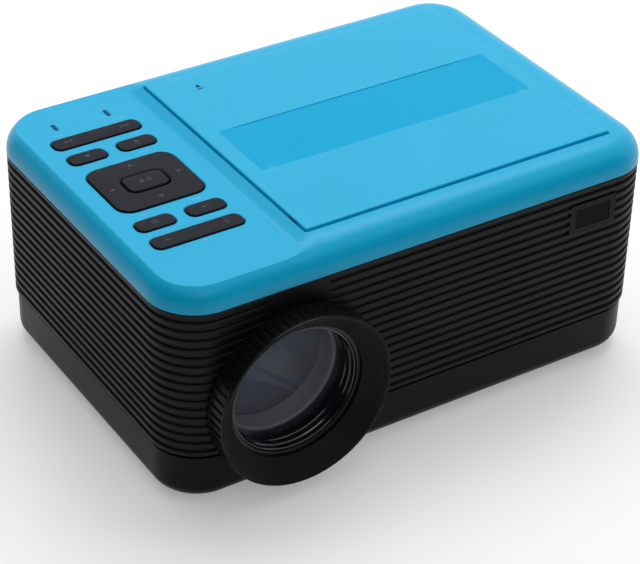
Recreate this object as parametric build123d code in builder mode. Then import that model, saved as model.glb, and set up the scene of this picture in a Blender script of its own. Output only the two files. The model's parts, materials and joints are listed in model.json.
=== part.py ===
"""Portable projector with a top-loading disc player, in millimetres.

X runs along the width, the lens looks towards -Y and +Z is up. The origin is
on the floor, below the middle of the whole object.
"""
from build123d import *
from math import cos, radians, sin, sqrt
import os

os.makedirs("parts", exist_ok=True)

# ---------------------------------------------------------------- driving sizes
body_width = 240.0
body_depth = 164.0
corner_radius = 22.0
foot_height = 3.0
base_height = 22.0
shell_height = 72.0
cover_height = 13.0
pad_drop = 2.5
shoulder_radius = 12.0
wall = 2.5
cut_over = 1.0  # how far a cutting shape runs past the wall it cuts
lens_reach = 12.0
running = 0.05
gap = 0.3

# heights of the stacked casings
base_bottom = foot_height
shell_bottom = base_bottom + base_height
seam_z = shell_bottom + shell_height
cover_top = seam_z + cover_height
pad_top = cover_top - pad_drop
pad_under = pad_top - wall

# the body stands behind the middle of the object by half of the lens reach
body_y = lens_reach / 2
front_y = body_y - body_depth / 2
rear_y = body_y + body_depth / 2
right_x = body_width / 2
inner_front = front_y + wall
inner_rear = rear_y - wall
inner_right = right_x - wall

# ribs of the body shell
rib_count = 17
rib_pitch = 4.25
rib_depth = 0.9
groove_width = 2.05

# disc lid
lid_margin = 17.5
lid_front = -67.0
lid_length = 135.0
lid_plate = 2.4
lid_stand = 1.0
lid_gap = 0.7
lid_side_gap = 0.4
lid_skirt = 3.6
lid_skirt_wall = 1.5
band_margin = 6.25
band_width = 37.0
band_y = -2.0
band_drop = 0.4
hinge_setback = 10.0
hinge_drop = 3.2
hinge_pin_radius = 1.0
ear_width = 3.0
opening_wall = 2.0
opening_wall_height = 11.0
ramp_reach = 6.0

# disc player
well_radius = 61.5
well_depth = 6.0
well_floor = 2.0
well_y = 3.5
deck_drop = 13.5
turntable_radius = 14.0
turntable_clearance = 2.0
turntable_thickness = 2.0
hub_radius = 7.4
hub_height = 3.6
disc_lift = 2.0
spindle_radius = 1.0
spindle_motor_radius = 12.0
spindle_motor_height = 8.0
chassis_thickness = 1.2
chassis_reach_left = 74.75
chassis_reach_right = 34.25
chassis_depth = 70.0
damper_inset = 6.0
damper_radius = 4.0
rail_radius = 1.5
rail_lift = 4.0
rail_spread = 30.0
rail_reach = 71.75
rail_start = 5.75
pickup_length = 22.0
pickup_width = 26.0
pickup_travel = 34.0
pickup_inner_radius = 24.0
objective_radius = 4.0
window_clearance = 1.5
cradle_height = 6.0
cradle_inset = 3.0
cradle_overlap = 2.5
nut_arm_width = 6.0
nut_arm_reach = 3.0
screw_offset = 22.0
feed_motor_radius = 3.9
feed_motor_length = 14.0

# control pad
pad_margin = 33.6
pad_to_lid = 35.4
nav_y = 1.5
key_stand = 0.7
key_gap = 0.45
key_corner = 3.2
key_edge = 0.5
key_flange = 1.0
key_flange_thickness = 1.4
key_row = 23.4
small_key_length = 17.2
small_key_width = 8.3
small_key_rows = (31.1, -28.0)
rocker_length = 41.0
rocker_width = 8.7
rocker_rows = {"upper_rocker": 45.4, "lower_rocker": -42.1}
rocker_slack = 0.6
rocker_pin_radius = 0.6
rocker_bracket_gap = 0.5
rocker_bracket = 1.4
nav_length = 40.6
nav_width = 36.5
nav_corner = 6.5
nav_slack = 1.4
nav_flange_thickness = 1.0
trunnion_lift = 2.8
trunnion_radius = 0.8
trunnion_seat = 1.6
bracket_thickness = 2.0
bracket_span = 4.0
bracket_gap = 0.6
bracket_land = 1.1
center_length = 18.5
center_width = 12.0
center_corner = 3.5
center_gap = 0.6
key_board_drop = 9.5
key_board_thickness = 1.6
light_row_y = 60.0
light_length = 5.5
light_width = 1.6
light_spread = 25.2

# lens and light engine
lens_margin = 54.7
lens_hole_gap = 0.5
ring_radius = 40.2
ring_rim = 1.2
ring_lip_radius = 31.0
ring_lip = 1.2
ring_cone = 8.0
tooth_count = 66
tooth_depth = 0.7
tube_wall = 1.35
barrel_radius = 29.6
barrel_wall = 1.1
barrel_length = 38.0
barrel_setback = 10.0
barrel_shoulder = 4.5
glass_setback = 20.0
glass_edge = 4.0
glass_crown = 4.5
spacer_length = 10.0
spacer_wall = 1.5
rear_glass_edge = 5.0
engine_clearance = 0.7
engine_wall = 2.5
engine_setback = 56.0
optic_slack = 0.1
optic_thickness = 2.0
field_lens_place = 6.0
lcd_place = 16.0
collimator_place = 28.0
condenser_place = 48.0
condenser_radius = 22.0
condenser_crown = 8.0
light_board_thickness = 2.0
led_size = 14.0
led_height = 2.0
heat_sink_depth = 15.0
heat_sink_gap = 0.2
heat_sink_base = 3.0
fin_count = 12
fin_thickness = 1.4
fan_size = 60.0
grille_height = 44.0
grille_margin = 1.0
grille_slot_inset = 3.0
grille_slot_height = 2.6
slot_pitch = 5.0
slot_rows = 8
fan_depth = 15.0
fan_setback = 1.3
fan_bore = 28.5
fan_hub = 13.0
spoke_width = 3.0
spoke_depth = 2.0
spoke_overlap = 1.0
rotor_gap = 2.5
rotor_wall = 1.5
rotor_depth = 10.0
blade_chord = 9.5
blade_thickness = 1.2
blade_middle = 5.2
blade_root = 0.7
blade_count = 7
blade_reach = 27.5
blade_angle = 38.0
fan_shaft = 1.5
shaft_sleeve = 2.0
sleeve_length = 5.0
shaft_pocket = 0.8
shaft_overlap = 1.0

# electronics and sockets
board_thickness = 1.6
main_clearance = 6.3
main_margin = 22.0
main_setback = 20.0
main_post_inset = 6.0
main_drop = 1.0
post_radius = 3.5
disc_board_lift = 22.0
speaker_radius = 18.0
speaker_depth = 12.0
panel_inset_left = 4.0
panel_inset_right = 6.0
panel_lift = 0.5
panel_height = 16.0
socket_depth = 12.0
cover_post_margin = 10.0
cover_post_setback = 22.0
cover_post_radius = 4.0
post_clearance = 1.0
post_joint_lift = 5.0
screw_radius = 1.5
screw_clearance = 0.2
screw_head_radius = 3.0
head_clearance = 0.3
screw_head = 2.2
screw_length = 26.0
screw_seat = 16.0
insert_radius = 5.0
insert_wall = 3.0
engine_saddle_inset = 15.0
engine_saddle_depth = 6.0
engine_saddle_margin = 5.0
insert_length = 8.0
tripod_radius = 2.55


def level(z):
    """Horizontal plane at height z, centred on the body."""
    return Plane((0, body_y, z))


def facing(y):
    """Upright plane across the body at y, looking forward; its sketches are in X and Z."""
    return Plane((0, y, 0), x_dir=(1, 0, 0), z_dir=(0, -1, 0))


def side(x):
    """Upright plane along the body at x, looking right; its sketches are in Y and Z."""
    return Plane((x, 0, 0), x_dir=(0, 1, 0), z_dir=(1, 0, 0))


def lens_plane(y):
    """Plane across the optical axis at y, centred on that axis."""
    return Plane((lens_x, y, lens_z), x_dir=(1, 0, 0), z_dir=(0, -1, 0))


# ---------------------------------------------------------------- worked-out places
pad_x = pad_margin - right_x
lid_left = pad_x + pad_to_lid
lid_width = right_x - lid_margin - lid_left
ramp_left = lid_left - ramp_reach
band_length = lid_width - 2 * band_margin
lid_x = lid_left + lid_width / 2
lid_y = lid_front + lid_length / 2
lid_top = cover_top + lid_stand
lid_under = lid_top - lid_plate
hinge_y = lid_front + hinge_setback
hinge_z = lid_top - hinge_drop
well_x = lid_x
deck_top = cover_top - deck_drop
well_top = deck_top - well_depth
well_under = well_top - well_floor
disc_z = well_top + disc_lift
chassis_top = well_under - spindle_motor_height - gap
chassis_under = chassis_top - chassis_thickness
chassis_left = well_x - chassis_reach_left
chassis_right = well_x + chassis_reach_right
rail_left = well_x - rail_reach
rail_right = well_x - rail_start
rail_z = chassis_top + rail_lift
pickup_right = well_x - pickup_inner_radius + pickup_length / 2
opening_length = lid_length + 2 * lid_gap
opening_span = lid_width + 2 * lid_side_gap
opening_left = lid_left - lid_side_gap
rim_under = cover_top - opening_wall_height
board_top = pad_top - key_board_drop
bracket_x = nav_length / 2 + key_flange + bracket_gap + bracket_thickness / 2
trunnion_z = board_top + trunnion_lift
bracket_end = trunnion_z - trunnion_radius - bracket_land
rocker_pin_z = pad_under - rocker_slack - key_flange_thickness / 2
rocker_bracket_y = rocker_width / 2 + key_flange + rocker_bracket_gap + rocker_bracket / 2
rocker_bracket_end = rocker_pin_z - rocker_pin_radius - bracket_land
rocker_pin_end = rocker_bracket_y + rocker_bracket / 2
ring_front = front_y - lens_reach
ring_back = front_y - gap
ring_lip_y = ring_front + ring_cone
tube_bore = barrel_radius + running
tube_radius = tube_bore + tube_wall
lens_hole_radius = tube_radius + lens_hole_gap
engine_size = 2 * tube_radius
lens_x = lens_margin - right_x
lens_z = chassis_under - engine_clearance - engine_size / 2
barrel_front = ring_front + barrel_setback
barrel_back = barrel_front + barrel_length
glass_y = ring_front + glass_setback
spacer_y = glass_y + glass_edge
rear_glass_y = spacer_y + spacer_length
shoulder_y = rear_glass_y + rear_glass_edge
fan_front = inner_rear - fan_setback - fan_depth
light_board_back = fan_front - heat_sink_gap - heat_sink_depth
engine_front = front_y + engine_setback
engine_back = light_board_back - light_board_thickness
engine_length = engine_back - engine_front
engine_inner = engine_size - 2 * engine_wall
optic_size = engine_inner - 2 * optic_slack
heat_sink_back = light_board_back + heat_sink_depth
cover_post_x = right_x - cover_post_margin
cover_post_y = body_depth / 2 - cover_post_setback
post_joint = shell_bottom + post_joint_lift
main_left = lens_x + engine_size / 2 + main_clearance
main_right = right_x - main_margin
main_front = front_y + main_setback
main_z = shell_bottom - main_drop
main_top = main_z + board_thickness
main_rear = inner_rear - 1.0
panel_left = main_left + panel_inset_left
panel_right = main_right - panel_inset_right
panel_bottom = shell_bottom + panel_lift

# ---------------------------------------------------------------- casings
with BuildPart() as upper_cover:
    with BuildSketch(level(seam_z)):
        RectangleRounded(body_width, body_depth, corner_radius)
    extrude(amount=cover_height)
    fillet(upper_cover.faces().sort_by(Axis.Z)[-1].edges(), shoulder_radius)
    with BuildSketch(level(seam_z)):
        RectangleRounded(body_width - 2 * wall, body_depth - 2 * wall, corner_radius - wall)
    extrude(amount=cover_height - wall - pad_drop, mode=Mode.SUBTRACT)
    # the pad is the crown cut flat, with a soft ramp up to the lid
    with BuildSketch(facing(front_y)):
        with BuildLine():
            Polyline(
                (-right_x, pad_top),
                (ramp_left, pad_top),
                (opening_left, cover_top),
                (opening_left, lid_top),
                (-right_x, lid_top),
                close=True,
            )
        make_face()
    extrude(amount=-body_depth, mode=Mode.SUBTRACT)
    # walls around the lid opening
    with BuildSketch(level(rim_under)):
        with Locations((lid_x, lid_y)):
            Rectangle(opening_span + 2 * opening_wall, opening_length + 2 * opening_wall)
    extrude(amount=pad_under - rim_under + wall / 2)
    with BuildSketch(level(rim_under)):
        with Locations((lid_x, lid_y)):
            Rectangle(opening_span, opening_length)
    extrude(amount=opening_wall_height + lid_stand, mode=Mode.SUBTRACT)
    # pin holes of the lid hinge
    with BuildSketch(side(opening_left - opening_wall)):
        with Locations((body_y + hinge_y, hinge_z)):
            Circle(hinge_pin_radius)
    extrude(amount=opening_span + 2 * opening_wall, mode=Mode.SUBTRACT)
    # screw posts
    with BuildSketch(level(post_joint)):
        with GridLocations(2 * cover_post_x, 2 * cover_post_y, 2, 2):
            Circle(cover_post_radius)
            Circle(screw_radius + running, mode=Mode.SUBTRACT)
    extrude(amount=pad_under - post_joint)
    # key and light openings
    with BuildSketch(level(pad_under)):
        with Locations(*[(pad_x, row) for row in rocker_rows.values()]):
            RectangleRounded(rocker_length + 2 * key_gap, rocker_width + 2 * key_gap, key_corner + key_gap)
        with Locations(*[(pad_x + s * key_row / 2, row) for row in small_key_rows for s in (-1, 1)]):
            RectangleRounded(
                small_key_length + 2 * key_gap, small_key_width + 2 * key_gap, key_corner + key_gap
            )
        with Locations((pad_x, nav_y)):
            RectangleRounded(nav_length + 2 * key_gap, nav_width + 2 * key_gap, nav_corner + key_gap)
        with Locations((pad_x - light_spread / 2, light_row_y), (pad_x + light_spread / 2, light_row_y)):
            SlotOverall(light_length, light_width, rotation=90)
    extrude(amount=wall, mode=Mode.SUBTRACT)
    # brackets that hold the nav carrier's trunnions
    with BuildSketch(level(bracket_end)):
        with Locations((pad_x - bracket_x, nav_y), (pad_x + bracket_x, nav_y)):
            Rectangle(bracket_thickness, bracket_span)
    extrude(amount=pad_under - bracket_end)
    with BuildSketch(side(pad_x - bracket_x - bracket_thickness / 2)):
        with Locations((body_y + nav_y, trunnion_z)):
            Circle(trunnion_radius + running)
    extrude(amount=2 * bracket_x + bracket_thickness, mode=Mode.SUBTRACT)
    # brackets that hold the pivots of the long keys
    with BuildSketch(level(rocker_bracket_end)):
        with Locations(*[(pad_x, row + s * rocker_bracket_y) for row in rocker_rows.values() for s in (-1, 1)]):
            Rectangle(bracket_span, rocker_bracket)
    extrude(amount=pad_under - rocker_bracket_end)
    for row in rocker_rows.values():
        with BuildSketch(facing(body_y + row + rocker_pin_end)):
            with Locations((pad_x, rocker_pin_z)):
                Circle(rocker_pin_radius + running)
        extrude(amount=2 * rocker_pin_end, mode=Mode.SUBTRACT)
upper_cover.part.label = "upper_cover"
export_step(upper_cover.part, "parts/upper_cover.step")

lens_plate_width = 30.0
lens_plate_shift = 1.8
lens_plate_x = lens_x + lens_plate_shift
ir_margin = 34.6
ir_drop = 7.8
ir_x = right_x - ir_margin
ir_width = 24.4
ir_top = seam_z - ir_drop
ir_height = 14.5
window_width = ir_width - 6
window_height = ir_height - 5
window_z = ir_top - ir_height / 2

with BuildPart() as body_shell:
    with BuildSketch(level(shell_bottom)):
        RectangleRounded(body_width, body_depth, corner_radius)
        RectangleRounded(
            body_width - 2 * wall, body_depth - 2 * wall, corner_radius - wall, mode=Mode.SUBTRACT
        )
    extrude(amount=shell_height)
    # grooves between the ribs
    with BuildSketch(*[level(seam_z - rib_pitch * (n + 1)) for n in range(rib_count - 1)]):
        RectangleRounded(body_width + cut_over, body_depth + cut_over, corner_radius + cut_over / 2)
        RectangleRounded(
            body_width - 2 * rib_depth,
            body_depth - 2 * rib_depth,
            corner_radius - rib_depth,
            mode=Mode.SUBTRACT,
        )
    extrude(amount=groove_width, mode=Mode.SUBTRACT)
    # lens hole
    with BuildSketch(lens_plane(inner_front + cut_over)):
        Circle(lens_hole_radius)
    extrude(amount=wall + 2 * cut_over, mode=Mode.SUBTRACT)
    # seats of the lens plate and the infrared plate
    with BuildSketch(facing(front_y)):
        with Locations((lens_plate_x, (seam_z + lens_z) / 2)):
            Rectangle(lens_plate_width, seam_z - lens_z)
        with Locations((ir_x, window_z)):
            Rectangle(ir_width, ir_height)
    extrude(amount=-rib_depth, mode=Mode.SUBTRACT)
    with BuildSketch(facing(front_y)):
        with Locations((ir_x, window_z)):
            Rectangle(window_width, window_height)
    extrude(amount=-wall, mode=Mode.SUBTRACT)
    # openings of the fan and the sockets
    with BuildSketch(facing(inner_rear)):
        with Locations((lens_x, lens_z)):
            Rectangle(fan_size + 2 * grille_margin, grille_height)
        with Locations(((panel_left + panel_right) / 2, panel_bottom + panel_height / 2)):
            Rectangle(panel_right - panel_left, panel_height)
    extrude(amount=-wall, mode=Mode.SUBTRACT)
body_shell.part.label = "body_shell"
export_step(body_shell.part, "parts/body_shell.step")

main_post_columns = (main_left + main_post_inset, main_right - main_post_inset)
main_post_rows = (main_front + main_post_inset - body_y, cover_post_y)
base_inset = 1.0
base_round = 7.0
base_hollow_round = 6.0
base_floor = 2.5
with BuildPart() as base_hollow:
    with BuildSketch(level(base_bottom + base_floor)):
        RectangleRounded(
            body_width - 2 * base_inset - 2 * wall,
            body_depth - 2 * base_inset - 2 * wall,
            corner_radius - base_inset - wall,
        )
    extrude(amount=base_height - base_floor)
    fillet(base_hollow.faces().sort_by(Axis.Z)[0].edges(), base_hollow_round)

with BuildPart() as base_tray:
    with BuildSketch(level(base_bottom)):
        RectangleRounded(body_width - 2 * base_inset, body_depth - 2 * base_inset, corner_radius - base_inset)
    extrude(amount=base_height)
    fillet(base_tray.faces().sort_by(Axis.Z)[0].edges(), base_round)
    add(base_hollow.part, mode=Mode.SUBTRACT)
    # the lower part of the lens hole
    with BuildSketch(lens_plane(inner_front + base_inset + cut_over)):
        Circle(lens_hole_radius)
    extrude(amount=wall + 2 * cut_over, mode=Mode.SUBTRACT)
    # screw posts, board posts and light engine rests
    with BuildSketch(level(base_bottom + base_floor)):
        with GridLocations(2 * cover_post_x, 2 * cover_post_y, 2, 2):
            Circle(cover_post_radius + post_clearance)
    extrude(amount=post_joint - base_bottom - base_floor)
    with BuildSketch(level(base_bottom + base_floor)):
        with Locations(*[(x, y) for x in main_post_columns for y in main_post_rows]):
            Circle(post_radius)
    extrude(amount=main_z - base_bottom - base_floor)
    with BuildSketch(level(base_bottom + base_floor)):
        with Locations((lens_x, engine_front + engine_saddle_inset), (lens_x, engine_back - engine_saddle_inset)):
            Rectangle(engine_size - 2 * engine_saddle_margin, engine_saddle_depth)
        with Locations((0, 0)):
            Circle(insert_radius + insert_wall)
    extrude(amount=lens_z - engine_size / 2 - base_bottom - base_floor)
    # screw holes with deep heads, and the tripod insert's hole
    with BuildSketch(level(base_bottom)):
        with GridLocations(2 * cover_post_x, 2 * cover_post_y, 2, 2):
            Circle(screw_radius + screw_clearance)
    extrude(amount=post_joint - base_bottom, mode=Mode.SUBTRACT)
    with BuildSketch(level(base_bottom)):
        with GridLocations(2 * cover_post_x, 2 * cover_post_y, 2, 2):
            Circle(screw_head_radius + head_clearance)
    extrude(amount=screw_seat - base_bottom, mode=Mode.SUBTRACT)
    with BuildSketch(level(base_bottom)):
        Circle(insert_radius)
    extrude(amount=insert_length, mode=Mode.SUBTRACT)
base_tray.part.label = "base_tray"
export_step(base_tray.part, "parts/base_tray.step")

foot_radius = 8.0
foot_margin = 24.0
foot_round = 0.8
with BuildPart() as feet:
    with BuildSketch(level(0)):
        with GridLocations(body_width - 2 * foot_margin, 2 * cover_post_y, 2, 2):
            Circle(foot_radius)
    extrude(amount=foot_height)
    fillet(feet.faces().filter_by(Axis.Z).group_by(Axis.Z)[0].edges(), foot_round)
feet.part.label = "feet"
export_step(feet.part, "parts/feet.step")

with BuildPart() as cover_screws:
    with BuildSketch(level(screw_seat - screw_head)):
        with GridLocations(2 * cover_post_x, 2 * cover_post_y, 2, 2):
            Circle(screw_head_radius)
    extrude(amount=screw_head)
    with BuildSketch(level(screw_seat)):
        with GridLocations(2 * cover_post_x, 2 * cover_post_y, 2, 2):
            Circle(screw_radius)
    extrude(amount=screw_length)
cover_screws.part.label = "cover_screws"
export_step(cover_screws.part, "parts/cover_screws.step")

with BuildPart() as tripod_insert:
    with BuildSketch(level(base_bottom)):
        Circle(insert_radius)
        Circle(tripod_radius, mode=Mode.SUBTRACT)
    extrude(amount=insert_length)
tripod_insert.part.label = "tripod_insert"
export_step(tripod_insert.part, "parts/tripod_insert.step")

with BuildPart() as lens_plate:
    with BuildSketch(facing(front_y + rib_depth)):
        with Locations((lens_plate_x, (seam_z + lens_z) / 2)):
            Rectangle(lens_plate_width, seam_z - lens_z)
        with Locations((lens_x, lens_z)):
            Circle(lens_hole_radius, mode=Mode.SUBTRACT)
    extrude(amount=rib_depth)
lens_plate.part.label = "lens_plate"
export_step(lens_plate.part, "parts/lens_plate.step")

with BuildPart() as ir_plate:
    with BuildSketch(facing(front_y + rib_depth)):
        with Locations((ir_x, window_z)):
            Rectangle(ir_width, ir_height)
            Rectangle(window_width, window_height, mode=Mode.SUBTRACT)
    extrude(amount=rib_depth)
ir_plate.part.label = "ir_plate"
export_step(ir_plate.part, "parts/ir_plate.step")

with BuildPart() as ir_window:
    with BuildSketch(facing(inner_front)):
        with Locations((ir_x, window_z)):
            Rectangle(window_width, window_height)
    extrude(amount=wall - 0.2)
ir_window.part.label = "ir_window"
export_step(ir_window.part, "parts/ir_window.step")

eye_depth = 5.0
eye_width = 7.0
eye_height = 8.0
eye_board_width = 16.0
eye_board_height = 12.0
with BuildPart() as ir_receiver:
    with BuildSketch(facing(inner_front + eye_depth)):
        with Locations((ir_x, window_z)):
            Rectangle(eye_width, eye_height)
    extrude(amount=eye_depth)
    with BuildSketch(facing(inner_front + eye_depth + board_thickness)):
        with Locations((ir_x, window_z)):
            Rectangle(eye_board_width, eye_board_height)
    extrude(amount=board_thickness)
ir_receiver.part.label = "ir_receiver"
export_step(ir_receiver.part, "parts/ir_receiver.step")

# ---------------------------------------------------------------- disc lid
skirt_setback = 2.0
skirt_front = hinge_y + skirt_setback
skirt_length = lid_front + lid_length - skirt_front
with BuildPart() as disc_lid:
    with BuildSketch(level(lid_under)):
        with Locations((lid_x, lid_y)):
            Rectangle(lid_width, lid_length)
    extrude(amount=lid_plate)
    with BuildSketch(level(lid_top)):
        with Locations((lid_x, band_y)):
            Rectangle(band_length, band_width)
    extrude(amount=-band_drop, mode=Mode.SUBTRACT)
    # skirts on the sides and the rear
    with BuildSketch(level(lid_under - lid_skirt)):
        with Locations((lid_x, skirt_front + skirt_length / 2)):
            Rectangle(lid_width, skirt_length)
        with Locations((lid_x, skirt_front + (skirt_length - lid_skirt_wall) / 2)):
            Rectangle(lid_width - 2 * lid_skirt_wall, skirt_length - lid_skirt_wall, mode=Mode.SUBTRACT)
    extrude(amount=lid_skirt)
    # hinge ears
    with BuildSketch(side(lid_left), side(lid_left + lid_width - ear_width)):
        with Locations((body_y + hinge_y, hinge_z)):
            Circle(hinge_drop)
    extrude(amount=ear_width)
    with BuildSketch(side(lid_left)):
        with Locations((body_y + hinge_y, hinge_z)):
            Circle(hinge_pin_radius + running)
    extrude(amount=lid_width, mode=Mode.SUBTRACT)
disc_lid.part.label = "disc_lid"
export_step(disc_lid.part, "parts/disc_lid.step")

pin_length = lid_side_gap + opening_wall + ear_width
with BuildPart() as lid_hinge_pins:
    with BuildSketch(
        side(opening_left - opening_wall),
        side(lid_left + lid_width - ear_width),
    ):
        with Locations((body_y + hinge_y, hinge_z)):
            Circle(hinge_pin_radius)
    extrude(amount=pin_length)
lid_hinge_pins.part.label = "lid_hinge_pins"
export_step(lid_hinge_pins.part, "parts/lid_hinge_pins.step")

hook_inset = 20.0
hook_setback = 6.0
hook_x = lid_left + hook_inset
hook_y = lid_front + lid_length - hook_setback
hook_width = 8.0
hook_thickness = 1.8
hook_length = 8.0
with BuildPart() as lid_hook:
    with BuildSketch(level(lid_under - hook_length)):
        with Locations((hook_x, hook_y)):
            Rectangle(hook_width, hook_thickness)
    extrude(amount=hook_length)
lid_hook.part.label = "lid_hook"
export_step(lid_hook.part, "parts/lid_hook.step")

catch_depth = 5.0
catch_width = hook_width + 6
catch_height = 7.0
with BuildPart() as lid_catch:
    with BuildSketch(level(deck_top)):
        with Locations((hook_x, hook_y - hook_thickness / 2 - gap - catch_depth / 2)):
            Rectangle(catch_width, catch_depth)
    extrude(amount=catch_height)
lid_catch.part.label = "lid_catch"
export_step(lid_catch.part, "parts/lid_catch.step")

# ---------------------------------------------------------------- disc player
window_left = well_x - pickup_inner_radius - pickup_travel - objective_radius - 1.5
with BuildPart() as well_deck:
    with BuildSketch(level(well_under)):
        with Locations((lid_x, lid_y)):
            Rectangle(opening_span + 2 * opening_wall, opening_length + 2 * opening_wall)
    extrude(amount=rim_under - well_under)
    with BuildSketch(level(deck_top)):
        with Locations((lid_x, lid_y)):
            Rectangle(opening_span, opening_length)
    extrude(amount=rim_under - deck_top, mode=Mode.SUBTRACT)
    with BuildSketch(level(well_top)):
        with Locations((well_x, well_y)):
            Circle(well_radius)
    extrude(amount=well_depth, mode=Mode.SUBTRACT)
    with BuildSketch(level(well_under)):
        with Locations((well_x, well_y)):
            Circle(turntable_radius + turntable_clearance)
        with Locations(((window_left + well_x) / 2, well_y)):
            Rectangle(well_x - window_left, 2 * (objective_radius + window_clearance))
    extrude(amount=well_floor, mode=Mode.SUBTRACT)
    # the underside is hollow outside the well
    with BuildSketch(level(well_under)):
        with Locations((lid_x, lid_y)):
            Rectangle(opening_span, opening_length)
        with Locations((well_x, well_y)):
            Circle(well_radius + well_floor, mode=Mode.SUBTRACT)
    extrude(amount=well_depth, mode=Mode.SUBTRACT)
well_deck.part.label = "well_deck"
export_step(well_deck.part, "parts/well_deck.step")

bracket_height = rail_z + 3 - chassis_top
rail_rows = (well_y - rail_spread / 2, well_y + rail_spread / 2)
with BuildPart() as mech_chassis:
    with BuildSketch(level(chassis_under)):
        with Locations(((chassis_left + chassis_right) / 2, well_y)):
            Rectangle(chassis_right - chassis_left, chassis_depth)
    extrude(amount=chassis_thickness)
    fillet(mech_chassis.edges().filter_by(Axis.Z), 3)
    with BuildSketch(level(chassis_top)):
        with Locations(*[(x, y) for x in (rail_left + 1, rail_right - 1) for y in rail_rows]):
            Rectangle(2, 5)
    extrude(amount=bracket_height)
    with BuildSketch(side(rail_left)):
        with Locations(*[(body_y + y, rail_z) for y in rail_rows]):
            Circle(rail_radius)
    extrude(amount=rail_right - rail_left, mode=Mode.SUBTRACT)
mech_chassis.part.label = "mech_chassis"
export_step(mech_chassis.part, "parts/mech_chassis.step")

with BuildPart() as dampers:
    with BuildSketch(level(chassis_top)):
        with Locations(((chassis_left + chassis_right) / 2, well_y)):
            with GridLocations(chassis_right - chassis_left - 2 * damper_inset, chassis_depth - 2 * damper_inset, 2, 2):
                Circle(damper_radius)
    extrude(amount=well_under - chassis_top)
dampers.part.label = "dampers"
export_step(dampers.part, "parts/dampers.step")

with BuildPart() as guide_rails:
    with BuildSketch(side(rail_left)):
        with Locations(*[(body_y + y, rail_z) for y in rail_rows]):
            Circle(rail_radius)
    extrude(amount=rail_right - rail_left)
guide_rails.part.label = "guide_rails"
export_step(guide_rails.part, "parts/guide_rails.step")

shaft_top = disc_z + 1
with BuildPart() as spindle_motor:
    with BuildSketch(level(chassis_top)):
        with Locations((well_x, well_y)):
            Circle(spindle_motor_radius)
    extrude(amount=spindle_motor_height - turntable_thickness)
    with BuildSketch(level(chassis_top)):
        with Locations((well_x, well_y)):
            Circle(spindle_radius)
    extrude(amount=shaft_top - chassis_top)
spindle_motor.part.label = "spindle_motor"
export_step(spindle_motor.part, "parts/spindle_motor.step")

with BuildPart() as turntable:
    with BuildSketch(level(chassis_top + spindle_motor_height - turntable_thickness + gap)):
        with Locations((well_x, well_y)):
            Circle(4.0)
    extrude(amount=disc_z - chassis_top - spindle_motor_height + turntable_thickness - gap)
    with BuildSketch(level(disc_z - turntable_thickness)):
        with Locations((well_x, well_y)):
            Circle(turntable_radius)
    extrude(amount=turntable_thickness)
    with BuildSketch(level(disc_z)):
        with Locations((well_x, well_y)):
            Circle(hub_radius)
    extrude(amount=hub_height)
    chamfer(turntable.faces().sort_by(Axis.Z)[-1].edges(), 0.8)
    with BuildSketch(level(chassis_top)):
        with Locations((well_x, well_y)):
            Circle(spindle_radius + running)
    extrude(amount=shaft_top + gap - chassis_top, mode=Mode.SUBTRACT)
turntable.part.label = "turntable"
export_step(turntable.part, "parts/turntable.step")

screw_y = well_y - screw_offset
pickup_x = pickup_right - pickup_length / 2
objective_top = well_top - 0.5
with BuildPart() as pickup:
    with BuildSketch(level(chassis_top + gap)):
        with Locations((pickup_x, well_y)):
            Rectangle(pickup_length, pickup_width)
    extrude(amount=well_under - chassis_top - 2 * gap)
    with BuildSketch(level(rail_z - cradle_height / 2)):
        with Locations((pickup_x, well_y)):
            Rectangle(pickup_length - 2 * cradle_inset, rail_spread + 2 * cradle_overlap)
        with Locations((pickup_x, (well_y + screw_y - nut_arm_reach) / 2)):
            Rectangle(nut_arm_width, screw_offset + nut_arm_reach)
    extrude(amount=cradle_height)
    with BuildSketch(level(well_under - gap)):
        with Locations((pickup_x, well_y)):
            Circle(objective_radius)
    extrude(amount=objective_top - well_under + gap)
    with BuildSketch(side(pickup_right - pickup_length)):
        with Locations(*[(body_y + y, rail_z) for y in (*rail_rows, screw_y)]):
            Circle(rail_radius + running)
    extrude(amount=pickup_length, mode=Mode.SUBTRACT)
pickup.part.label = "pickup"
export_step(pickup.part, "parts/pickup.step")

screw_right = pickup_x + 6
with BuildPart() as feed_screw:
    with BuildSketch(side(rail_left)):
        with Locations((body_y + screw_y, rail_z)):
            Circle(rail_radius)
    extrude(amount=screw_right - rail_left)
feed_screw.part.label = "feed_screw"
export_step(feed_screw.part, "parts/feed_screw.step")

motor_left = screw_right + gap
with BuildPart() as feed_motor:
    with BuildSketch(side(motor_left)):
        with Locations((body_y + screw_y, rail_z)):
            Circle(feed_motor_radius)
    extrude(amount=feed_motor_length)
    with BuildSketch(level(chassis_top)):
        with Locations((rail_left + 1, screw_y)):
            Rectangle(2, 5)
    extrude(amount=bracket_height)
    with BuildSketch(side(rail_left)):
        with Locations((body_y + screw_y, rail_z)):
            Circle(rail_radius + running)
    extrude(amount=4, mode=Mode.SUBTRACT)
feed_motor.part.label = "feed_motor"
export_step(feed_motor.part, "parts/feed_motor.step")

# ---------------------------------------------------------------- control pad
key_top = pad_top + key_stand


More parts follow.
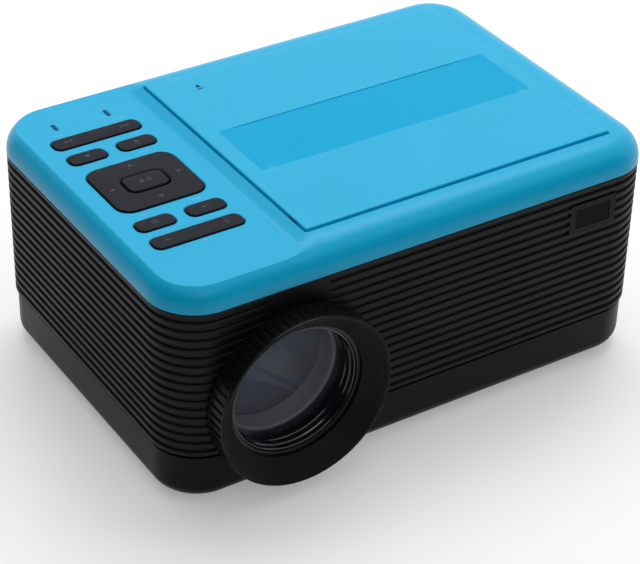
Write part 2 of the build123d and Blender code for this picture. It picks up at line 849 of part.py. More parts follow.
def make_key(name, x, y, length, width, slack, pin_end=0):
    """A long key with round corners, a flange that keeps it under the pad, and pivot pins if it tilts."""
    flange_top = pad_under - slack
    with BuildPart() as key:
        with BuildSketch(level(flange_top)):
            with Locations((x, y)):
                RectangleRounded(length, width, key_corner)
        extrude(amount=key_top - flange_top)
        fillet(key.faces().sort_by(Axis.Z)[-1].edges(), key_edge)
        with BuildSketch(level(flange_top - key_flange_thickness)):
            with Locations((x, y)):
                RectangleRounded(length + 2 * key_flange, width + 2 * key_flange, key_corner + key_flange)
        extrude(amount=key_flange_thickness)
        if pin_end:
            with BuildSketch(facing(body_y + y + pin_end)):
                with Locations((x, rocker_pin_z)):
                    Circle(rocker_pin_radius)
            extrude(amount=2 * pin_end)
    key.part.label = name
    export_step(key.part, f"parts/{name}.step")


for rocker, row in rocker_rows.items():
    make_key(rocker, pad_x, row, rocker_length, rocker_width, rocker_slack, rocker_pin_end)
for row_name, row in zip(("rear", "front"), small_key_rows):
    for side_name, hand in (("left", -1), ("right", 1)):
        key_x = pad_x + hand * key_row / 2
        make_key(f"{row_name}_{side_name}_key", key_x, row, small_key_length, small_key_width, gap)

nav_flange_top = pad_under - nav_slack
nav_under = nav_flange_top - nav_flange_thickness
lug_width = 1.6
lug_y = nav_width / 2 - lug_width / 2
carrier_length = 30.0
carrier_bar = 3.0
pin_root = 1.0
carrier_width = 2 * lug_y - lug_width - 2 * gap
carrier_thickness = 1.4
with BuildPart() as nav_pad:
    with BuildSketch(level(nav_under)):
        with Locations((pad_x, nav_y)):
            RectangleRounded(nav_length + 2 * key_flange, nav_width + 2 * key_flange, nav_corner + key_flange)
    extrude(amount=nav_flange_thickness)
    with BuildSketch(level(nav_flange_top)):
        with Locations((pad_x, nav_y)):
            RectangleRounded(nav_length, nav_width, nav_corner)
    extrude(amount=key_top - nav_flange_top)
    fillet(nav_pad.faces().sort_by(Axis.Z)[-1].edges(), key_edge)
    with BuildSketch(level(trunnion_z - trunnion_seat)):
        with Locations((pad_x, nav_y - lug_y), (pad_x, nav_y + lug_y)):
            Rectangle(bracket_span, lug_width)
    extrude(amount=nav_under - trunnion_z + trunnion_seat)
    with BuildSketch(level(nav_under)):
        with Locations((pad_x, nav_y)):
            RectangleRounded(
                center_length + 2 * center_gap, center_width + 2 * center_gap, center_corner + center_gap
            )
    extrude(amount=key_top - nav_under, mode=Mode.SUBTRACT)
    with BuildSketch(facing(body_y + nav_y - nav_width)):
        with Locations((pad_x, trunnion_z)):
            Circle(trunnion_radius + running)
    extrude(amount=-2 * nav_width, mode=Mode.SUBTRACT)
nav_pad.part.label = "nav_pad"
export_step(nav_pad.part, "parts/nav_pad.step")

with BuildPart() as nav_carrier:
    with BuildSketch(level(trunnion_z - carrier_thickness / 2)):
        with Locations((pad_x, nav_y)):
            Rectangle(carrier_length, carrier_width)
            Rectangle(carrier_length - 2 * carrier_bar, carrier_width - 2 * carrier_bar, mode=Mode.SUBTRACT)
    extrude(amount=carrier_thickness)
    with BuildSketch(
        side(pad_x - bracket_x - bracket_thickness / 2),
        side(pad_x + carrier_length / 2 - pin_root),
    ):
        with Locations((body_y + nav_y, trunnion_z)):
            Circle(trunnion_radius)
    extrude(amount=bracket_x + bracket_thickness / 2 - carrier_length / 2 + pin_root)
    with BuildSketch(facing(body_y + nav_y - carrier_width / 2 + pin_root)):
        with Locations((pad_x, trunnion_z)):
            Circle(trunnion_radius)
    extrude(amount=lug_width + gap + pin_root)
    with BuildSketch(facing(body_y + nav_y + carrier_width / 2 - pin_root)):
        with Locations((pad_x, trunnion_z)):
            Circle(trunnion_radius)
    extrude(amount=-(lug_width + gap + pin_root))
nav_carrier.part.label = "nav_carrier"
export_step(nav_carrier.part, "parts/nav_carrier.step")

center_drop = 0.8
center_flange = 1.5
center_flange_thickness = 1.0
center_flange_top = nav_under - center_drop
with BuildPart() as center_key:
    with BuildSketch(level(center_flange_top)):
        with Locations((pad_x, nav_y)):
            RectangleRounded(center_length, center_width, center_corner)
    extrude(amount=key_top + gap - center_flange_top)
    fillet(center_key.faces().sort_by(Axis.Z)[-1].edges(), key_edge)
    with BuildSketch(level(center_flange_top - center_flange_thickness)):
        with Locations((pad_x, nav_y)):
            RectangleRounded(
                center_length + 2 * center_flange, center_width + 2 * center_flange, center_corner + center_flange
            )
    extrude(amount=center_flange_thickness)
center_key.part.label = "center_key"
export_step(center_key.part, "parts/center_key.step")

key_board_width = 47.0
key_board_length = 128.0
key_board_shift = (4.0, 5.0)
rocker_dome = 15.0
dome_size = 4.5
dome_height = 0.9
with BuildPart() as key_board:
    with BuildSketch(level(board_top - key_board_thickness)):
        with Locations((pad_x + key_board_shift[0], key_board_shift[1])):
            Rectangle(key_board_width, key_board_length)
    extrude(amount=key_board_thickness)
    with BuildSketch(level(board_top)):
        with Locations(*[(pad_x + s * rocker_dome, row) for row in rocker_rows.values() for s in (-1, 1)]):
            Rectangle(dome_size, dome_size)
        with Locations(*[(pad_x + s * key_row / 2, row) for row in small_key_rows for s in (-1, 1)]):
            Rectangle(dome_size, dome_size)
        with Locations((pad_x, nav_y)):
            Rectangle(dome_size, dome_size)
    extrude(amount=dome_height)
key_board.part.label = "key_board"
export_step(key_board.part, "parts/key_board.step")

with BuildPart() as light_pipes:
    with BuildSketch(level(board_top)):
        with Locations((pad_x - light_spread / 2, light_row_y), (pad_x + light_spread / 2, light_row_y)):
            SlotOverall(light_length - 0.1, light_width - 0.1, rotation=90)
    extrude(amount=pad_top - board_top - 0.2)
light_pipes.part.label = "light_pipes"
export_step(light_pipes.part, "parts/light_pipes.step")

# ---------------------------------------------------------------- lens
with BuildPart() as focus_ring:
    with BuildSketch(Plane((lens_x, 0, lens_z), x_dir=(1, 0, 0), z_dir=(0, 0, 1))):
        with BuildLine():
            Polyline(
                (tube_radius + running, ring_back),
                (ring_radius, ring_back),
                (ring_radius, ring_front),
                (ring_radius - ring_rim, ring_front),
                (ring_lip_radius, ring_lip_y),
                (ring_lip_radius, ring_lip_y + ring_lip),
                (tube_radius + running, ring_lip_y + ring_lip),
                close=True,
            )
        make_face()
    revolve(axis=Axis((lens_x, 0, lens_z), (0, 1, 0)))
    with BuildSketch(lens_plane(ring_back - 1.2)):
        with PolarLocations(ring_radius, tooth_count):
            Rectangle(2 * tooth_depth, 1.7)
    extrude(amount=ring_back - ring_front - 2.6, mode=Mode.SUBTRACT)
focus_ring.part.label = "focus_ring"
export_step(focus_ring.part, "parts/focus_ring.step")

tube_front = ring_lip_y + ring_lip + gap
with BuildPart() as lens_tube:
    with BuildSketch(lens_plane(engine_front)):
        Circle(tube_radius)
        Circle(tube_bore, mode=Mode.SUBTRACT)
    extrude(amount=engine_front - tube_front)
    with BuildSketch(lens_plane(engine_front)):
        Rectangle(engine_size, engine_size)
        Circle(tube_bore, mode=Mode.SUBTRACT)
    extrude(amount=3)
lens_tube.part.label = "lens_tube"
export_step(lens_tube.part, "parts/lens_tube.step")

barrel_bore = barrel_radius - barrel_wall
with BuildPart() as lens_barrel:
    with BuildSketch(lens_plane(barrel_back)):
        Circle(barrel_radius)
        Circle(barrel_bore - barrel_shoulder, mode=Mode.SUBTRACT)
    extrude(amount=barrel_length)
    with BuildSketch(lens_plane(shoulder_y)):
        Circle(barrel_bore)
    extrude(amount=shoulder_y - barrel_front, mode=Mode.SUBTRACT)
lens_barrel.part.label = "lens_barrel"
export_step(lens_barrel.part, "parts/lens_barrel.step")

# the front glass is a cap of a sphere
glass_sphere = (barrel_bore**2 + glass_crown**2) / (2 * glass_crown)
half_bore = barrel_bore / 2
glass_middle = (half_bore, glass_y - glass_crown + glass_sphere - sqrt(glass_sphere**2 - half_bore**2))
with BuildPart() as front_lens:
    with BuildSketch(Plane((lens_x, 0, lens_z), x_dir=(1, 0, 0), z_dir=(0, 0, 1))):
        with BuildLine():
            Line((0, glass_y + glass_edge), (barrel_bore, glass_y + glass_edge))
            Line((barrel_bore, glass_y + glass_edge), (barrel_bore, glass_y))
            ThreePointArc((barrel_bore, glass_y), glass_middle, (0, glass_y - glass_crown))
            Line((0, glass_y - glass_crown), (0, glass_y + glass_edge))
        make_face()
    revolve(axis=Axis((lens_x, 0, lens_z), (0, 1, 0)))
front_lens.part.label = "front_lens"
export_step(front_lens.part, "parts/front_lens.step")

with BuildPart() as spacer_ring:
    with BuildSketch(lens_plane(rear_glass_y)):
        Circle(barrel_bore)
        Circle(barrel_bore - spacer_wall, mode=Mode.SUBTRACT)
    extrude(amount=spacer_length)
spacer_ring.part.label = "spacer_ring"
export_step(spacer_ring.part, "parts/spacer_ring.step")

with BuildPart() as rear_lens:
    with BuildSketch(lens_plane(shoulder_y)):
        Circle(barrel_bore)
    extrude(amount=rear_glass_edge)
rear_lens.part.label = "rear_lens"
export_step(rear_lens.part, "parts/rear_lens.step")

# ---------------------------------------------------------------- light engine
with BuildPart() as engine_housing:
    with BuildSketch(lens_plane(engine_back)):
        Rectangle(engine_size, engine_size)
        Rectangle(engine_inner, engine_inner, mode=Mode.SUBTRACT)
    extrude(amount=engine_length)
engine_housing.part.label = "engine_housing"
export_step(engine_housing.part, "parts/engine_housing.step")

for optic_name, optic_y in (
    ("field_lens", engine_front + field_lens_place),
    ("lcd_panel", engine_front + lcd_place),
    ("collimating_lens", engine_front + collimator_place),
):
    with BuildPart() as optic:
        with BuildSketch(lens_plane(optic_y)):
            Rectangle(optic_size, optic_size)
        extrude(amount=optic_thickness)
    optic.part.label = optic_name
    export_step(optic.part, f"parts/{optic_name}.step")

condenser_y = engine_front + condenser_place
with BuildPart() as condenser_lens:
    with BuildSketch(lens_plane(condenser_y)):
        Rectangle(optic_size, optic_size)
    extrude(amount=optic_thickness)
    with BuildSketch(lens_plane(condenser_y)):
        Circle(condenser_radius)
    extrude(amount=optic_thickness + condenser_crown)
    fillet(condenser_lens.faces().sort_by(Axis.Y)[0].edges(), condenser_crown - 1)
condenser_lens.part.label = "condenser_lens"
export_step(condenser_lens.part, "parts/condenser_lens.step")

with BuildPart() as light_board:
    with BuildSketch(lens_plane(light_board_back)):
        Rectangle(engine_size, engine_size)
    extrude(amount=light_board_back - engine_back)
    with BuildSketch(lens_plane(engine_back)):
        Rectangle(led_size, led_size)
    extrude(amount=led_height)
light_board.part.label = "light_board"
export_step(light_board.part, "parts/light_board.step")

with BuildPart() as heat_sink:
    with BuildSketch(lens_plane(light_board_back + heat_sink_base)):
        Rectangle(engine_size, engine_size)
    extrude(amount=heat_sink_base)
    with BuildSketch(lens_plane(heat_sink_back)):
        with GridLocations((engine_size - fin_thickness) / (fin_count - 1), 1, fin_count, 1):
            Rectangle(fin_thickness, engine_size)
    extrude(amount=heat_sink_depth - heat_sink_base)
heat_sink.part.label = "heat_sink"
export_step(heat_sink.part, "parts/heat_sink.step")

with BuildPart() as fan_frame:
    with BuildSketch(lens_plane(fan_front + fan_depth)):
        Rectangle(fan_size, fan_size)
        Circle(fan_bore, mode=Mode.SUBTRACT)
    extrude(amount=fan_depth)
    with BuildSketch(lens_plane(fan_front + fan_depth)):
        Circle(fan_hub)
        with PolarLocations((fan_hub + fan_bore) / 2, 3):
            Rectangle(fan_bore - fan_hub + 2 * spoke_overlap, spoke_width)
    extrude(amount=spoke_depth)
    with BuildSketch(lens_plane(fan_front + fan_depth)):
        Circle(fan_shaft + shaft_sleeve)
    extrude(amount=sleeve_length)
    with BuildSketch(lens_plane(fan_front + fan_depth - shaft_pocket)):
        Circle(fan_shaft + running)
    extrude(amount=sleeve_length + cut_over, mode=Mode.SUBTRACT)
fan_frame.part.label = "fan_frame"
export_step(fan_frame.part, "parts/fan_frame.step")

rotor_back = fan_front + fan_depth - rotor_gap
with BuildPart() as fan_rotor:
    with BuildSketch(lens_plane(rotor_back)):
        Circle(fan_hub)
        Circle(fan_hub - rotor_wall, mode=Mode.SUBTRACT)
    extrude(amount=rotor_depth)
    with BuildSketch(lens_plane(rotor_back - rotor_depth + cut_over)):
        Circle(fan_hub)
    extrude(amount=rotor_wall)
    with BuildSketch(lens_plane(fan_front + fan_depth - shaft_overlap)):
        Circle(fan_shaft)
    extrude(amount=11)
    for blade in range(blade_count):
        turn = radians(360 / blade_count * blade)
        root = fan_hub - blade_root
        with BuildSketch(
            Plane(
                (lens_x + root * cos(turn), rotor_back - blade_middle, lens_z + root * sin(turn)),
                x_dir=(-sin(turn) * cos(radians(blade_angle)), sin(radians(blade_angle)),
                       cos(turn) * cos(radians(blade_angle))),
                z_dir=(cos(turn), 0, sin(turn)),
            )
        ):
            Rectangle(blade_chord, blade_thickness)
        extrude(amount=blade_reach - fan_hub)
fan_rotor.part.label = "fan_rotor"
export_step(fan_rotor.part, "parts/fan_rotor.step")

with BuildPart() as exhaust_grille:
    with BuildSketch(facing(rear_y)):
        with Locations((lens_x, lens_z)):
            Rectangle(fan_size + 2 * grille_margin, grille_height)
        with Locations((lens_x, lens_z)):
            with GridLocations(1, slot_pitch, 1, slot_rows):
                SlotOverall(fan_size - 2 * grille_slot_inset, grille_slot_height, mode=Mode.SUBTRACT)
    extrude(amount=wall)
exhaust_grille.part.label = "exhaust_grille"
export_step(exhaust_grille.part, "parts/exhaust_grille.step")

# ---------------------------------------------------------------- electronics
main_x = (main_left + main_right) / 2
chip_height = 2.0
with BuildPart() as main_board:
    with BuildSketch(level(main_z)):
        with Locations((main_x, (main_front + main_rear - 2 * body_y) / 2)):
            Rectangle(main_right - main_left, main_rear - main_front)
    extrude(amount=board_thickness)
    with BuildSketch(level(main_top)):
        with Locations((main_x - 15, 10)):
            Rectangle(22, 22)
        with Locations((main_x + 35, 20), (main_x + 25, -30)):
            Rectangle(14, 10)
    extrude(amount=chip_height)
main_board.part.label = "main_board"
export_step(main_board.part, "parts/main_board.step")

disc_board_z = main_top + disc_board_lift
disc_board_shift = 14.25
disc_board_x = well_x + disc_board_shift
disc_board_length = 90.0
disc_board_width = 60.0
with BuildPart() as board_spacers:
    with BuildSketch(level(main_top)):
        with Locations((disc_board_x, 0)):
            with GridLocations(disc_board_length - 8, disc_board_width - 8, 2, 2):
                RegularPolygon(3, 6)
    extrude(amount=disc_board_lift)
board_spacers.part.label = "board_spacers"
export_step(board_spacers.part, "parts/board_spacers.step")

with BuildPart() as disc_board:
    with BuildSketch(level(disc_board_z)):
        with Locations((disc_board_x, 0)):
            Rectangle(disc_board_length, disc_board_width)
    extrude(amount=board_thickness)
    with BuildSketch(level(disc_board_z + board_thickness)):
        with Locations((disc_board_x - 15, 0)):
            Rectangle(18, 18)
        with Locations((disc_board_x + 20, 10)):
            Rectangle(12, 12)
    extrude(amount=chip_height)
disc_board.part.label = "disc_board"
export_step(disc_board.part, "parts/disc_board.step")

speaker_z = 60.0
with BuildPart() as speakers:
    for hand in (-1, 1):
        with BuildSketch(side(hand * inner_right)):
            with Locations((body_y, speaker_z)):
                Circle(speaker_radius)
        extrude(amount=-hand * 3)
        with BuildSketch(side(hand * (inner_right - 3))):
            with Locations((body_y, speaker_z)):
                Circle(speaker_radius * 0.6)
        extrude(amount=-hand * (speaker_depth - 3))
speakers.part.label = "speakers"
export_step(speakers.part, "parts/speakers.step")

# ---------------------------------------------------------------- rear sockets
socket_front = rear_y - 0.4 - socket_depth
panel_length = panel_right - panel_left
# each socket's place along the panel as a share of its length, with its width and height
sockets = {
    "headphone_jack": (panel_left + panel_length * 12 / 116, 8.0, 8.0),
    "av_jack": (panel_left + panel_length * 27 / 116, 8.0, 8.0),
    "usb_jack": (panel_left + panel_length * 48 / 116, 14.5, 7.2),
    "hdmi_jack": (panel_left + panel_length * 74 / 116, 15.0, 6.6),
    "dc_jack": (panel_left + panel_length * 100 / 116, 10.0, 11.0),
}
with BuildPart() as socket_panel:
    with BuildSketch(facing(rear_y)):
        with Locations(((panel_left + panel_right) / 2, panel_bottom + panel_height / 2)):
            Rectangle(panel_right - panel_left, panel_height)
        for socket_x, socket_width, socket_height in sockets.values():
            with Locations((socket_x, main_top + socket_height / 2)):
                Rectangle(socket_width + 0.4, socket_height + 0.4, mode=Mode.SUBTRACT)
    extrude(amount=wall)
socket_panel.part.label = "socket_panel"
export_step(socket_panel.part, "parts/socket_panel.step")

plug_bore = 1.8
for jack_name in ("headphone_jack", "av_jack"):
    jack_x, jack_width, jack_height = sockets[jack_name]
    with BuildPart() as jack:
        with BuildSketch(facing(socket_front + socket_depth)):
            with Locations((jack_x, main_top + jack_height / 2)):
                Rectangle(jack_width, jack_height)
                Circle(plug_bore, mode=Mode.SUBTRACT)
        extrude(amount=socket_depth)
    jack.part.label = jack_name
    export_step(jack.part, f"parts/{jack_name}.step")

for jack_name, mouth_width, mouth_height in (("usb_jack", 12.6, 5.2), ("hdmi_jack", 13.9, 4.5)):
    jack_x, jack_width, jack_height = sockets[jack_name]
    with BuildPart() as jack:
        with BuildSketch(facing(socket_front + socket_depth)):
            with Locations((jack_x, main_top + jack_height / 2)):
                Rectangle(jack_width, jack_height)
        extrude(amount=socket_depth)
        with BuildSketch(facing(socket_front + socket_depth)):
            with Locations((jack_x, main_top + jack_height / 2)):
                Rectangle(mouth_width, mouth_height)
                Rectangle(mouth_width - 2, 1.4, mode=Mode.SUBTRACT)
        extrude(amount=9, mode=Mode.SUBTRACT)
    jack.part.label = jack_name
    export_step(jack.part, f"parts/{jack_name}.step")

dc_x, dc_width, dc_height = sockets["dc_jack"]
with BuildPart() as dc_jack:
    with BuildSketch(facing(socket_front + socket_depth)):
        with Locations((dc_x, main_top + dc_height / 2)):
            Rectangle(dc_width, dc_height)
    extrude(amount=socket_depth)
    with BuildSketch(facing(socket_front + socket_depth)):
        with Locations((dc_x, main_top + dc_height / 2)):
            Circle(2.9)
            Circle(1.05, mode=Mode.SUBTRACT)
    extrude(amount=9.5, mode=Mode.SUBTRACT)
dc_jack.part.label = "dc_jack"
export_step(dc_jack.part, "parts/dc_jack.step")
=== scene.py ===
"""Portable projector with a top-loading disc player: visible surfaces, finishes, light and camera.

Sizes in the classes are millimetres in the frame of the solid model; meshes are written in metres.
"""
import json
import logging
import math
from dataclasses import dataclass, field
from enum import Enum
from typing import Any, Callable, Sequence

import bmesh
import bpy
import numpy as np
from mathutils import Matrix
from mathutils.geometry import delaunay_2d_cdt


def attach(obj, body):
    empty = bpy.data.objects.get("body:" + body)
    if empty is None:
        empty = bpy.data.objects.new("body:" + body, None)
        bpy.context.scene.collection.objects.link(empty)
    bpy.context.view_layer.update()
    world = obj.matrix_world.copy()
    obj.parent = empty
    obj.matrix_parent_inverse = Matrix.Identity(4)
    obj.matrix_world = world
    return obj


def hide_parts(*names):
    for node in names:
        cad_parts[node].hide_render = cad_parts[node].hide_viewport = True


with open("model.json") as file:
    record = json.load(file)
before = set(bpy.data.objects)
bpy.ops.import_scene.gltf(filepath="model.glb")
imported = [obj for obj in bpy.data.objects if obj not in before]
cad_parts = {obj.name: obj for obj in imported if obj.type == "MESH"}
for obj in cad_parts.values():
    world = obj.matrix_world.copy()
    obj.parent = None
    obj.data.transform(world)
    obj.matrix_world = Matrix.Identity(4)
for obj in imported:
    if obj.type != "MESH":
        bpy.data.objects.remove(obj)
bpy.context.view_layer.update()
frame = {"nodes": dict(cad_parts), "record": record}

MM = 0.001
Array = np.ndarray
Colour = tuple[float, float, float]
Shell = tuple[Array, list[tuple[int, ...]]]
LOG = logging.getLogger("projector")


# ------------------------------------------------------------------ shader arithmetic
class Signal:
    """An output socket that takes part in shader arithmetic."""

    def __init__(self, graph: "Graph", socket: bpy.types.NodeSocket) -> None:
        """Wrap a socket of the graph."""
        self.graph = graph
        self.socket = socket

    def _math(self, operation: str, first: Any, second: Any) -> "Signal":
        """One Math node of that operation on the two values."""
        return self.graph.node("ShaderNodeMath", {"operation": operation}, {0: first, 1: second})

    def __add__(self, other: Any) -> "Signal":
        """Sum."""
        return self._math("ADD", self, other)

    __radd__ = __add__

    def __sub__(self, other: Any) -> "Signal":
        """Difference."""
        return self._math("SUBTRACT", self, other)

    def __rsub__(self, other: Any) -> "Signal":
        """Reflected difference."""
        return self._math("SUBTRACT", other, self)

    def __mul__(self, other: Any) -> "Signal":
        """Product."""
        return self._math("MULTIPLY", self, other)

    __rmul__ = __mul__

    def __truediv__(self, other: Any) -> "Signal":
        """Quotient."""
        return self._math("DIVIDE", self, other)

    def __pow__(self, other: Any) -> "Signal":
        """Power."""
        return self._math("POWER", self, other)

    def clamp(self) -> "Signal":
        """The value held between 0 and 1."""
        made = self._math("ADD", self, 0.0)
        made.socket.node.use_clamp = True
        return made

    def between(self, low: float, high: float) -> "Signal":
        """A smooth step from 0 at low to 1 at high."""
        return self.graph.node(
            "ShaderNodeMapRange",
            {"interpolation_type": "SMOOTHSTEP"},
            {"Value": self, "From Min": low, "From Max": high},
        )


class Graph:
    """A node tree that is filled by one method."""

    def __init__(self, tree: bpy.types.NodeTree) -> None:
        """Start from an empty tree."""
        self.tree = tree
        tree.nodes.clear()

    def node(
        self, kind: str, settings: dict[str, Any] | None = None, sockets: dict[Any, Any] | None = None,
        out: int | str = 0,
    ) -> Signal:
        """Make a node.

        Args:
            kind: the node's type name.
            settings: properties set first; "stops" gives a ramp's (place, colour) pairs.
            sockets: values or signals by input name or number.
            out: the output that the returned signal reads.

        Returns:
            The chosen output as a signal.
        """
        made = self.tree.nodes.new(kind)
        for name, value in (settings or {}).items():
            if name == "stops":
                ramp = made.color_ramp.elements
                while len(ramp) < len(value):
                    ramp.new(0.5)
                for stop, (place, colour) in zip(ramp, value):
                    stop.position = place
                    stop.color = (*colour, 1.0)
            else:
                setattr(made, name, value)
        for name, value in (sockets or {}).items():
            if isinstance(value, Signal):
                self.tree.links.new(value.socket, made.inputs[name])
            else:
                made.inputs[name].default_value = value
        return Signal(self, made.outputs[out]) if len(made.outputs) else Signal(self, made.inputs[0])

    def place(self, centre: Sequence[float] = (0, 0, 0), turn: Sequence[float] = (0, 0, 0),
              scale: Sequence[float] = (1, 1, 1)) -> Signal:
        """Object coordinates, centred on a point in metres, turned and scaled."""
        where = self.node("ShaderNodeTexCoord", out="Object")
        moved = self.node("ShaderNodeVectorMath", {"operation": "SUBTRACT"}, {0: where, 1: tuple(centre)})
        return self.node("ShaderNodeMapping", sockets={"Vector": moved, "Rotation": tuple(turn), "Scale": tuple(scale)})

    def noise(self, where: Signal, scale: float, detail: float = 2.0) -> Signal:
        """Noise from 0 to 1 with scale cells to the metre."""
        return self.node("ShaderNodeTexNoise", sockets={"Vector": where, "Scale": scale, "Detail": detail})

    def mix(self, share: Any, first: Any, second: Any) -> Signal:
        """Colour mix of two colours or signals by share."""
        pad = [(*c, 1.0) if isinstance(c, tuple) and len(c) == 3 else c for c in (first, second)]
        return self.node("ShaderNodeMix", {"data_type": "RGBA"}, {0: share, 6: pad[0], 7: pad[1]}, out=2)

    def split(self, vector: Signal) -> tuple[Signal, Signal, Signal]:
        """The three parts of a vector."""
        made = self.node("ShaderNodeSeparateXYZ", sockets={0: vector}).socket.node
        return tuple(Signal(self, out) for out in made.outputs)

    def rounded(self, radius: float) -> tuple[Signal, Signal]:
        """The normal softened over edges of that radius, and a mask that is 1 on such edges."""
        soft = self.node("ShaderNodeBevel", {"samples": 4}, {"Radius": radius * MM})
        true = self.node("ShaderNodeNewGeometry", out="Normal")
        same = self.node("ShaderNodeVectorMath", {"operation": "DOT_PRODUCT"}, {0: soft, 1: true}, out="Value")
        return soft, (1.0 - same).between(0.01, 0.25)


# ------------------------------------------------------------------ finishes
@dataclass(frozen=True)
class Finish:
    """A finish by name; subclasses wire its nodes."""

    name: str
    colour: Colour = (0.5, 0.5, 0.5)
    rough: float = 0.4
    specular: float = 0.5

    def wire(self, graph: Graph) -> dict[str, Any]:
        """The sockets of the Principled shader, as values and signals."""
        raise NotImplementedError

    def material(self) -> bpy.types.Material:
        """The material of this finish, made once."""
        title = f"{self.name}_finish"
        known = bpy.data.materials.get(title)
        if known:
            return known
        made = bpy.data.materials.new(title)
        made.use_nodes = True
        graph = Graph(made.node_tree)
        sockets = {"Specular IOR Level": self.specular, **self.wire(graph)}
        shader = graph.node("ShaderNodeBsdfPrincipled", sockets=sockets)
        graph.node("ShaderNodeOutputMaterial", sockets={"Surface": shader})
        return made


@dataclass(frozen=True)
class Moulded(Finish):
    """Moulded plastic or rubber: slow drift of colour, fine grain, and a painted highlight that lightens rounded edges.
    """

    drift: float = 0.04
    grain: float = 0.004
    cells: float = 1400.0
    edge: float = 0.2
    # strength of the painted highlight on rounded edges; glint below lifts its colour further
    edge_highlight: float = 0.25
    coat: float = 0.0
    haze: float = 0.08
    glint: float = 0.02

    def wire(self, graph: Graph) -> dict[str, Any]:
        """Two noises for colour and gloss, one fine noise for the bump over rounded edges."""
        where = graph.place()
        slow, fine = graph.noise(where, 28.0, 3.0), graph.noise(where, self.cells, 2.0)
        soft, rim = graph.rounded(self.edge)
        dark = tuple(max(0.0, c * (1 - self.drift)) for c in self.colour)
        pale = tuple(min(1.0, c * (1 + self.drift)) for c in self.colour)
        # rounded edges take this lighter colour: painted highlight standing in for light caught on the edges
        highlight_colour = tuple(min(1.0, c * 1.25 + self.glint) for c in self.colour)
        body = graph.mix(slow.between(0.3, 0.7), dark, pale)
        bump = graph.node("ShaderNodeBump", sockets={
            "Strength": 1.0, "Distance": self.grain * MM, "Height": fine, "Normal": soft})
        return {
            "Base Color": graph.mix(rim * self.edge_highlight, body, highlight_colour),
            "Roughness": (slow - 0.5) * self.haze + (fine - 0.5) * self.haze + self.rough,
            "Normal": bump,
            "Coat Weight": self.coat,
            "Coat Roughness": 0.12,
        }


@dataclass(frozen=True)
class Grooved(Moulded):
    """Moulded black whose face carries fine rings around the optical axis, coloured lighter on their ridges and darker
    in their grooves as painted highlight and painted shade.
    """

    centre: tuple[float, float] = (-65.3, 47.3)
    pitch: float = 0.62
    depth: float = 0.16

    def wire(self, graph: Graph) -> dict[str, Any]:
        """height = depth * (0.5 + 0.5 sin(2 pi r / pitch)), r measured from the optical axis."""
        sockets = super().wire(graph)
        x, _, z = graph.split(graph.place((self.centre[0] * MM, 0.0, self.centre[1] * MM)))
        radius = (x * x + z * z) ** 0.5
        wave = graph.node("ShaderNodeMath", {"operation": "SINE"}, {0: radius * (2 * math.pi / (self.pitch * MM))})
        soft = sockets["Normal"]
        sockets["Normal"] = graph.node("ShaderNodeBump", sockets={
            "Strength": 1.0, "Distance": self.depth * MM, "Height": wave * 0.5 + 0.5, "Normal": soft})
        # colour follows the groove wave, pale on ridges and dark in grooves: painted highlight and painted shade
        sockets["Base Color"] = graph.mix(wave * 0.5 + 0.5, tuple(c * 0.5 for c in self.colour),
                                          tuple(c * 1.6 for c in self.colour))
        return sockets


@dataclass(frozen=True)
class Metal(Finish):
    """Turned or rolled metal with fine drawn lines."""

    stretch: tuple[float, float, float] = (1.0, 14.0, 14.0)
    lines: float = 160.0

    def wire(self, graph: Graph) -> dict[str, Any]:
        """Noise stretched along the drawing direction varies colour, gloss and bump."""
        drawn = graph.noise(graph.place(scale=self.stretch), self.lines, 3.0)
        soft, rim = graph.rounded(0.15)
        pale = tuple(min(1.0, c * 1.12) for c in self.colour)
        body = graph.mix(drawn, tuple(c * 0.86 for c in self.colour), pale)
        return {
            # rounded edges mixed towards a 1.3 times lighter colour: painted highlight
            "Base Color": graph.mix(rim * 0.4, body, tuple(min(1.0, c * 1.3) for c in self.colour)),
            "Metallic": 1.0,
            "Roughness": (drawn - 0.5) * 0.16 + self.rough,
            "Normal": graph.node("ShaderNodeBump", sockets={
                "Strength": 0.6, "Distance": 0.01 * MM, "Height": drawn, "Normal": soft}),
        }


@dataclass(frozen=True)
class Glass(Finish):
    """Coated optical glass or a clear plastic pane with a faint haze of dust."""

    index: float = 1.5
    clear: float = 1.0

    def wire(self, graph: Graph) -> dict[str, Any]:
        """Noise gives the haze of dust in colour and gloss."""
        where = graph.place()
        dust = graph.noise(where, 220.0, 4.0).between(0.52, 0.8)
        smear = graph.noise(where, 35.0, 1.0)
        return {
            "Base Color": graph.mix(dust * 0.25, self.colour, (0.55, 0.56, 0.6)),
            "Roughness": smear * 0.03 + dust * 0.05 + self.rough,
            "IOR": self.index,
            "Transmission Weight": self.clear,
        }


@dataclass(frozen=True)
class ReflectionPatched(Moulded):
    """Dark coated element with broad blue patches painted on as reflections."""

    # blue of the painted reflection patches
    reflection_tint: Colour = (0.09, 0.15, 0.26)

    def wire(self, graph: Graph) -> dict[str, Any]:
        """A broad noise, stretched across the element, fades the body colour into the blue of the painted reflection.
        """
        sockets = super().wire(graph)
        reflection_patch = graph.noise(graph.place(scale=(0.6, 1.0, 1.5)), 34.0, 1.0).between(0.5, 0.62)
        sockets["Base Color"] = graph.mix(reflection_patch, self.colour, self.reflection_tint)
        return sockets


@dataclass(frozen=True)
class Coated(Finish):
    """Coated optical glass: a thin grey veil with a faint haze of dust, clear between."""

    veil: float = 0.22

    def wire(self, graph: Graph) -> dict[str, Any]:
        """Noise thickens the veil where dust lies and roughens it a little."""
        where = graph.place()
        dust = graph.noise(where, 220.0, 4.0).between(0.52, 0.8)
        smear = graph.noise(where, 35.0, 1.0)
        return {
            "Base Color": graph.mix(dust * 0.25, self.colour, (0.3, 0.3, 0.34)),
            "Roughness": smear * 0.03 + self.rough,
            "Alpha": dust * 0.06 + self.veil,
        }


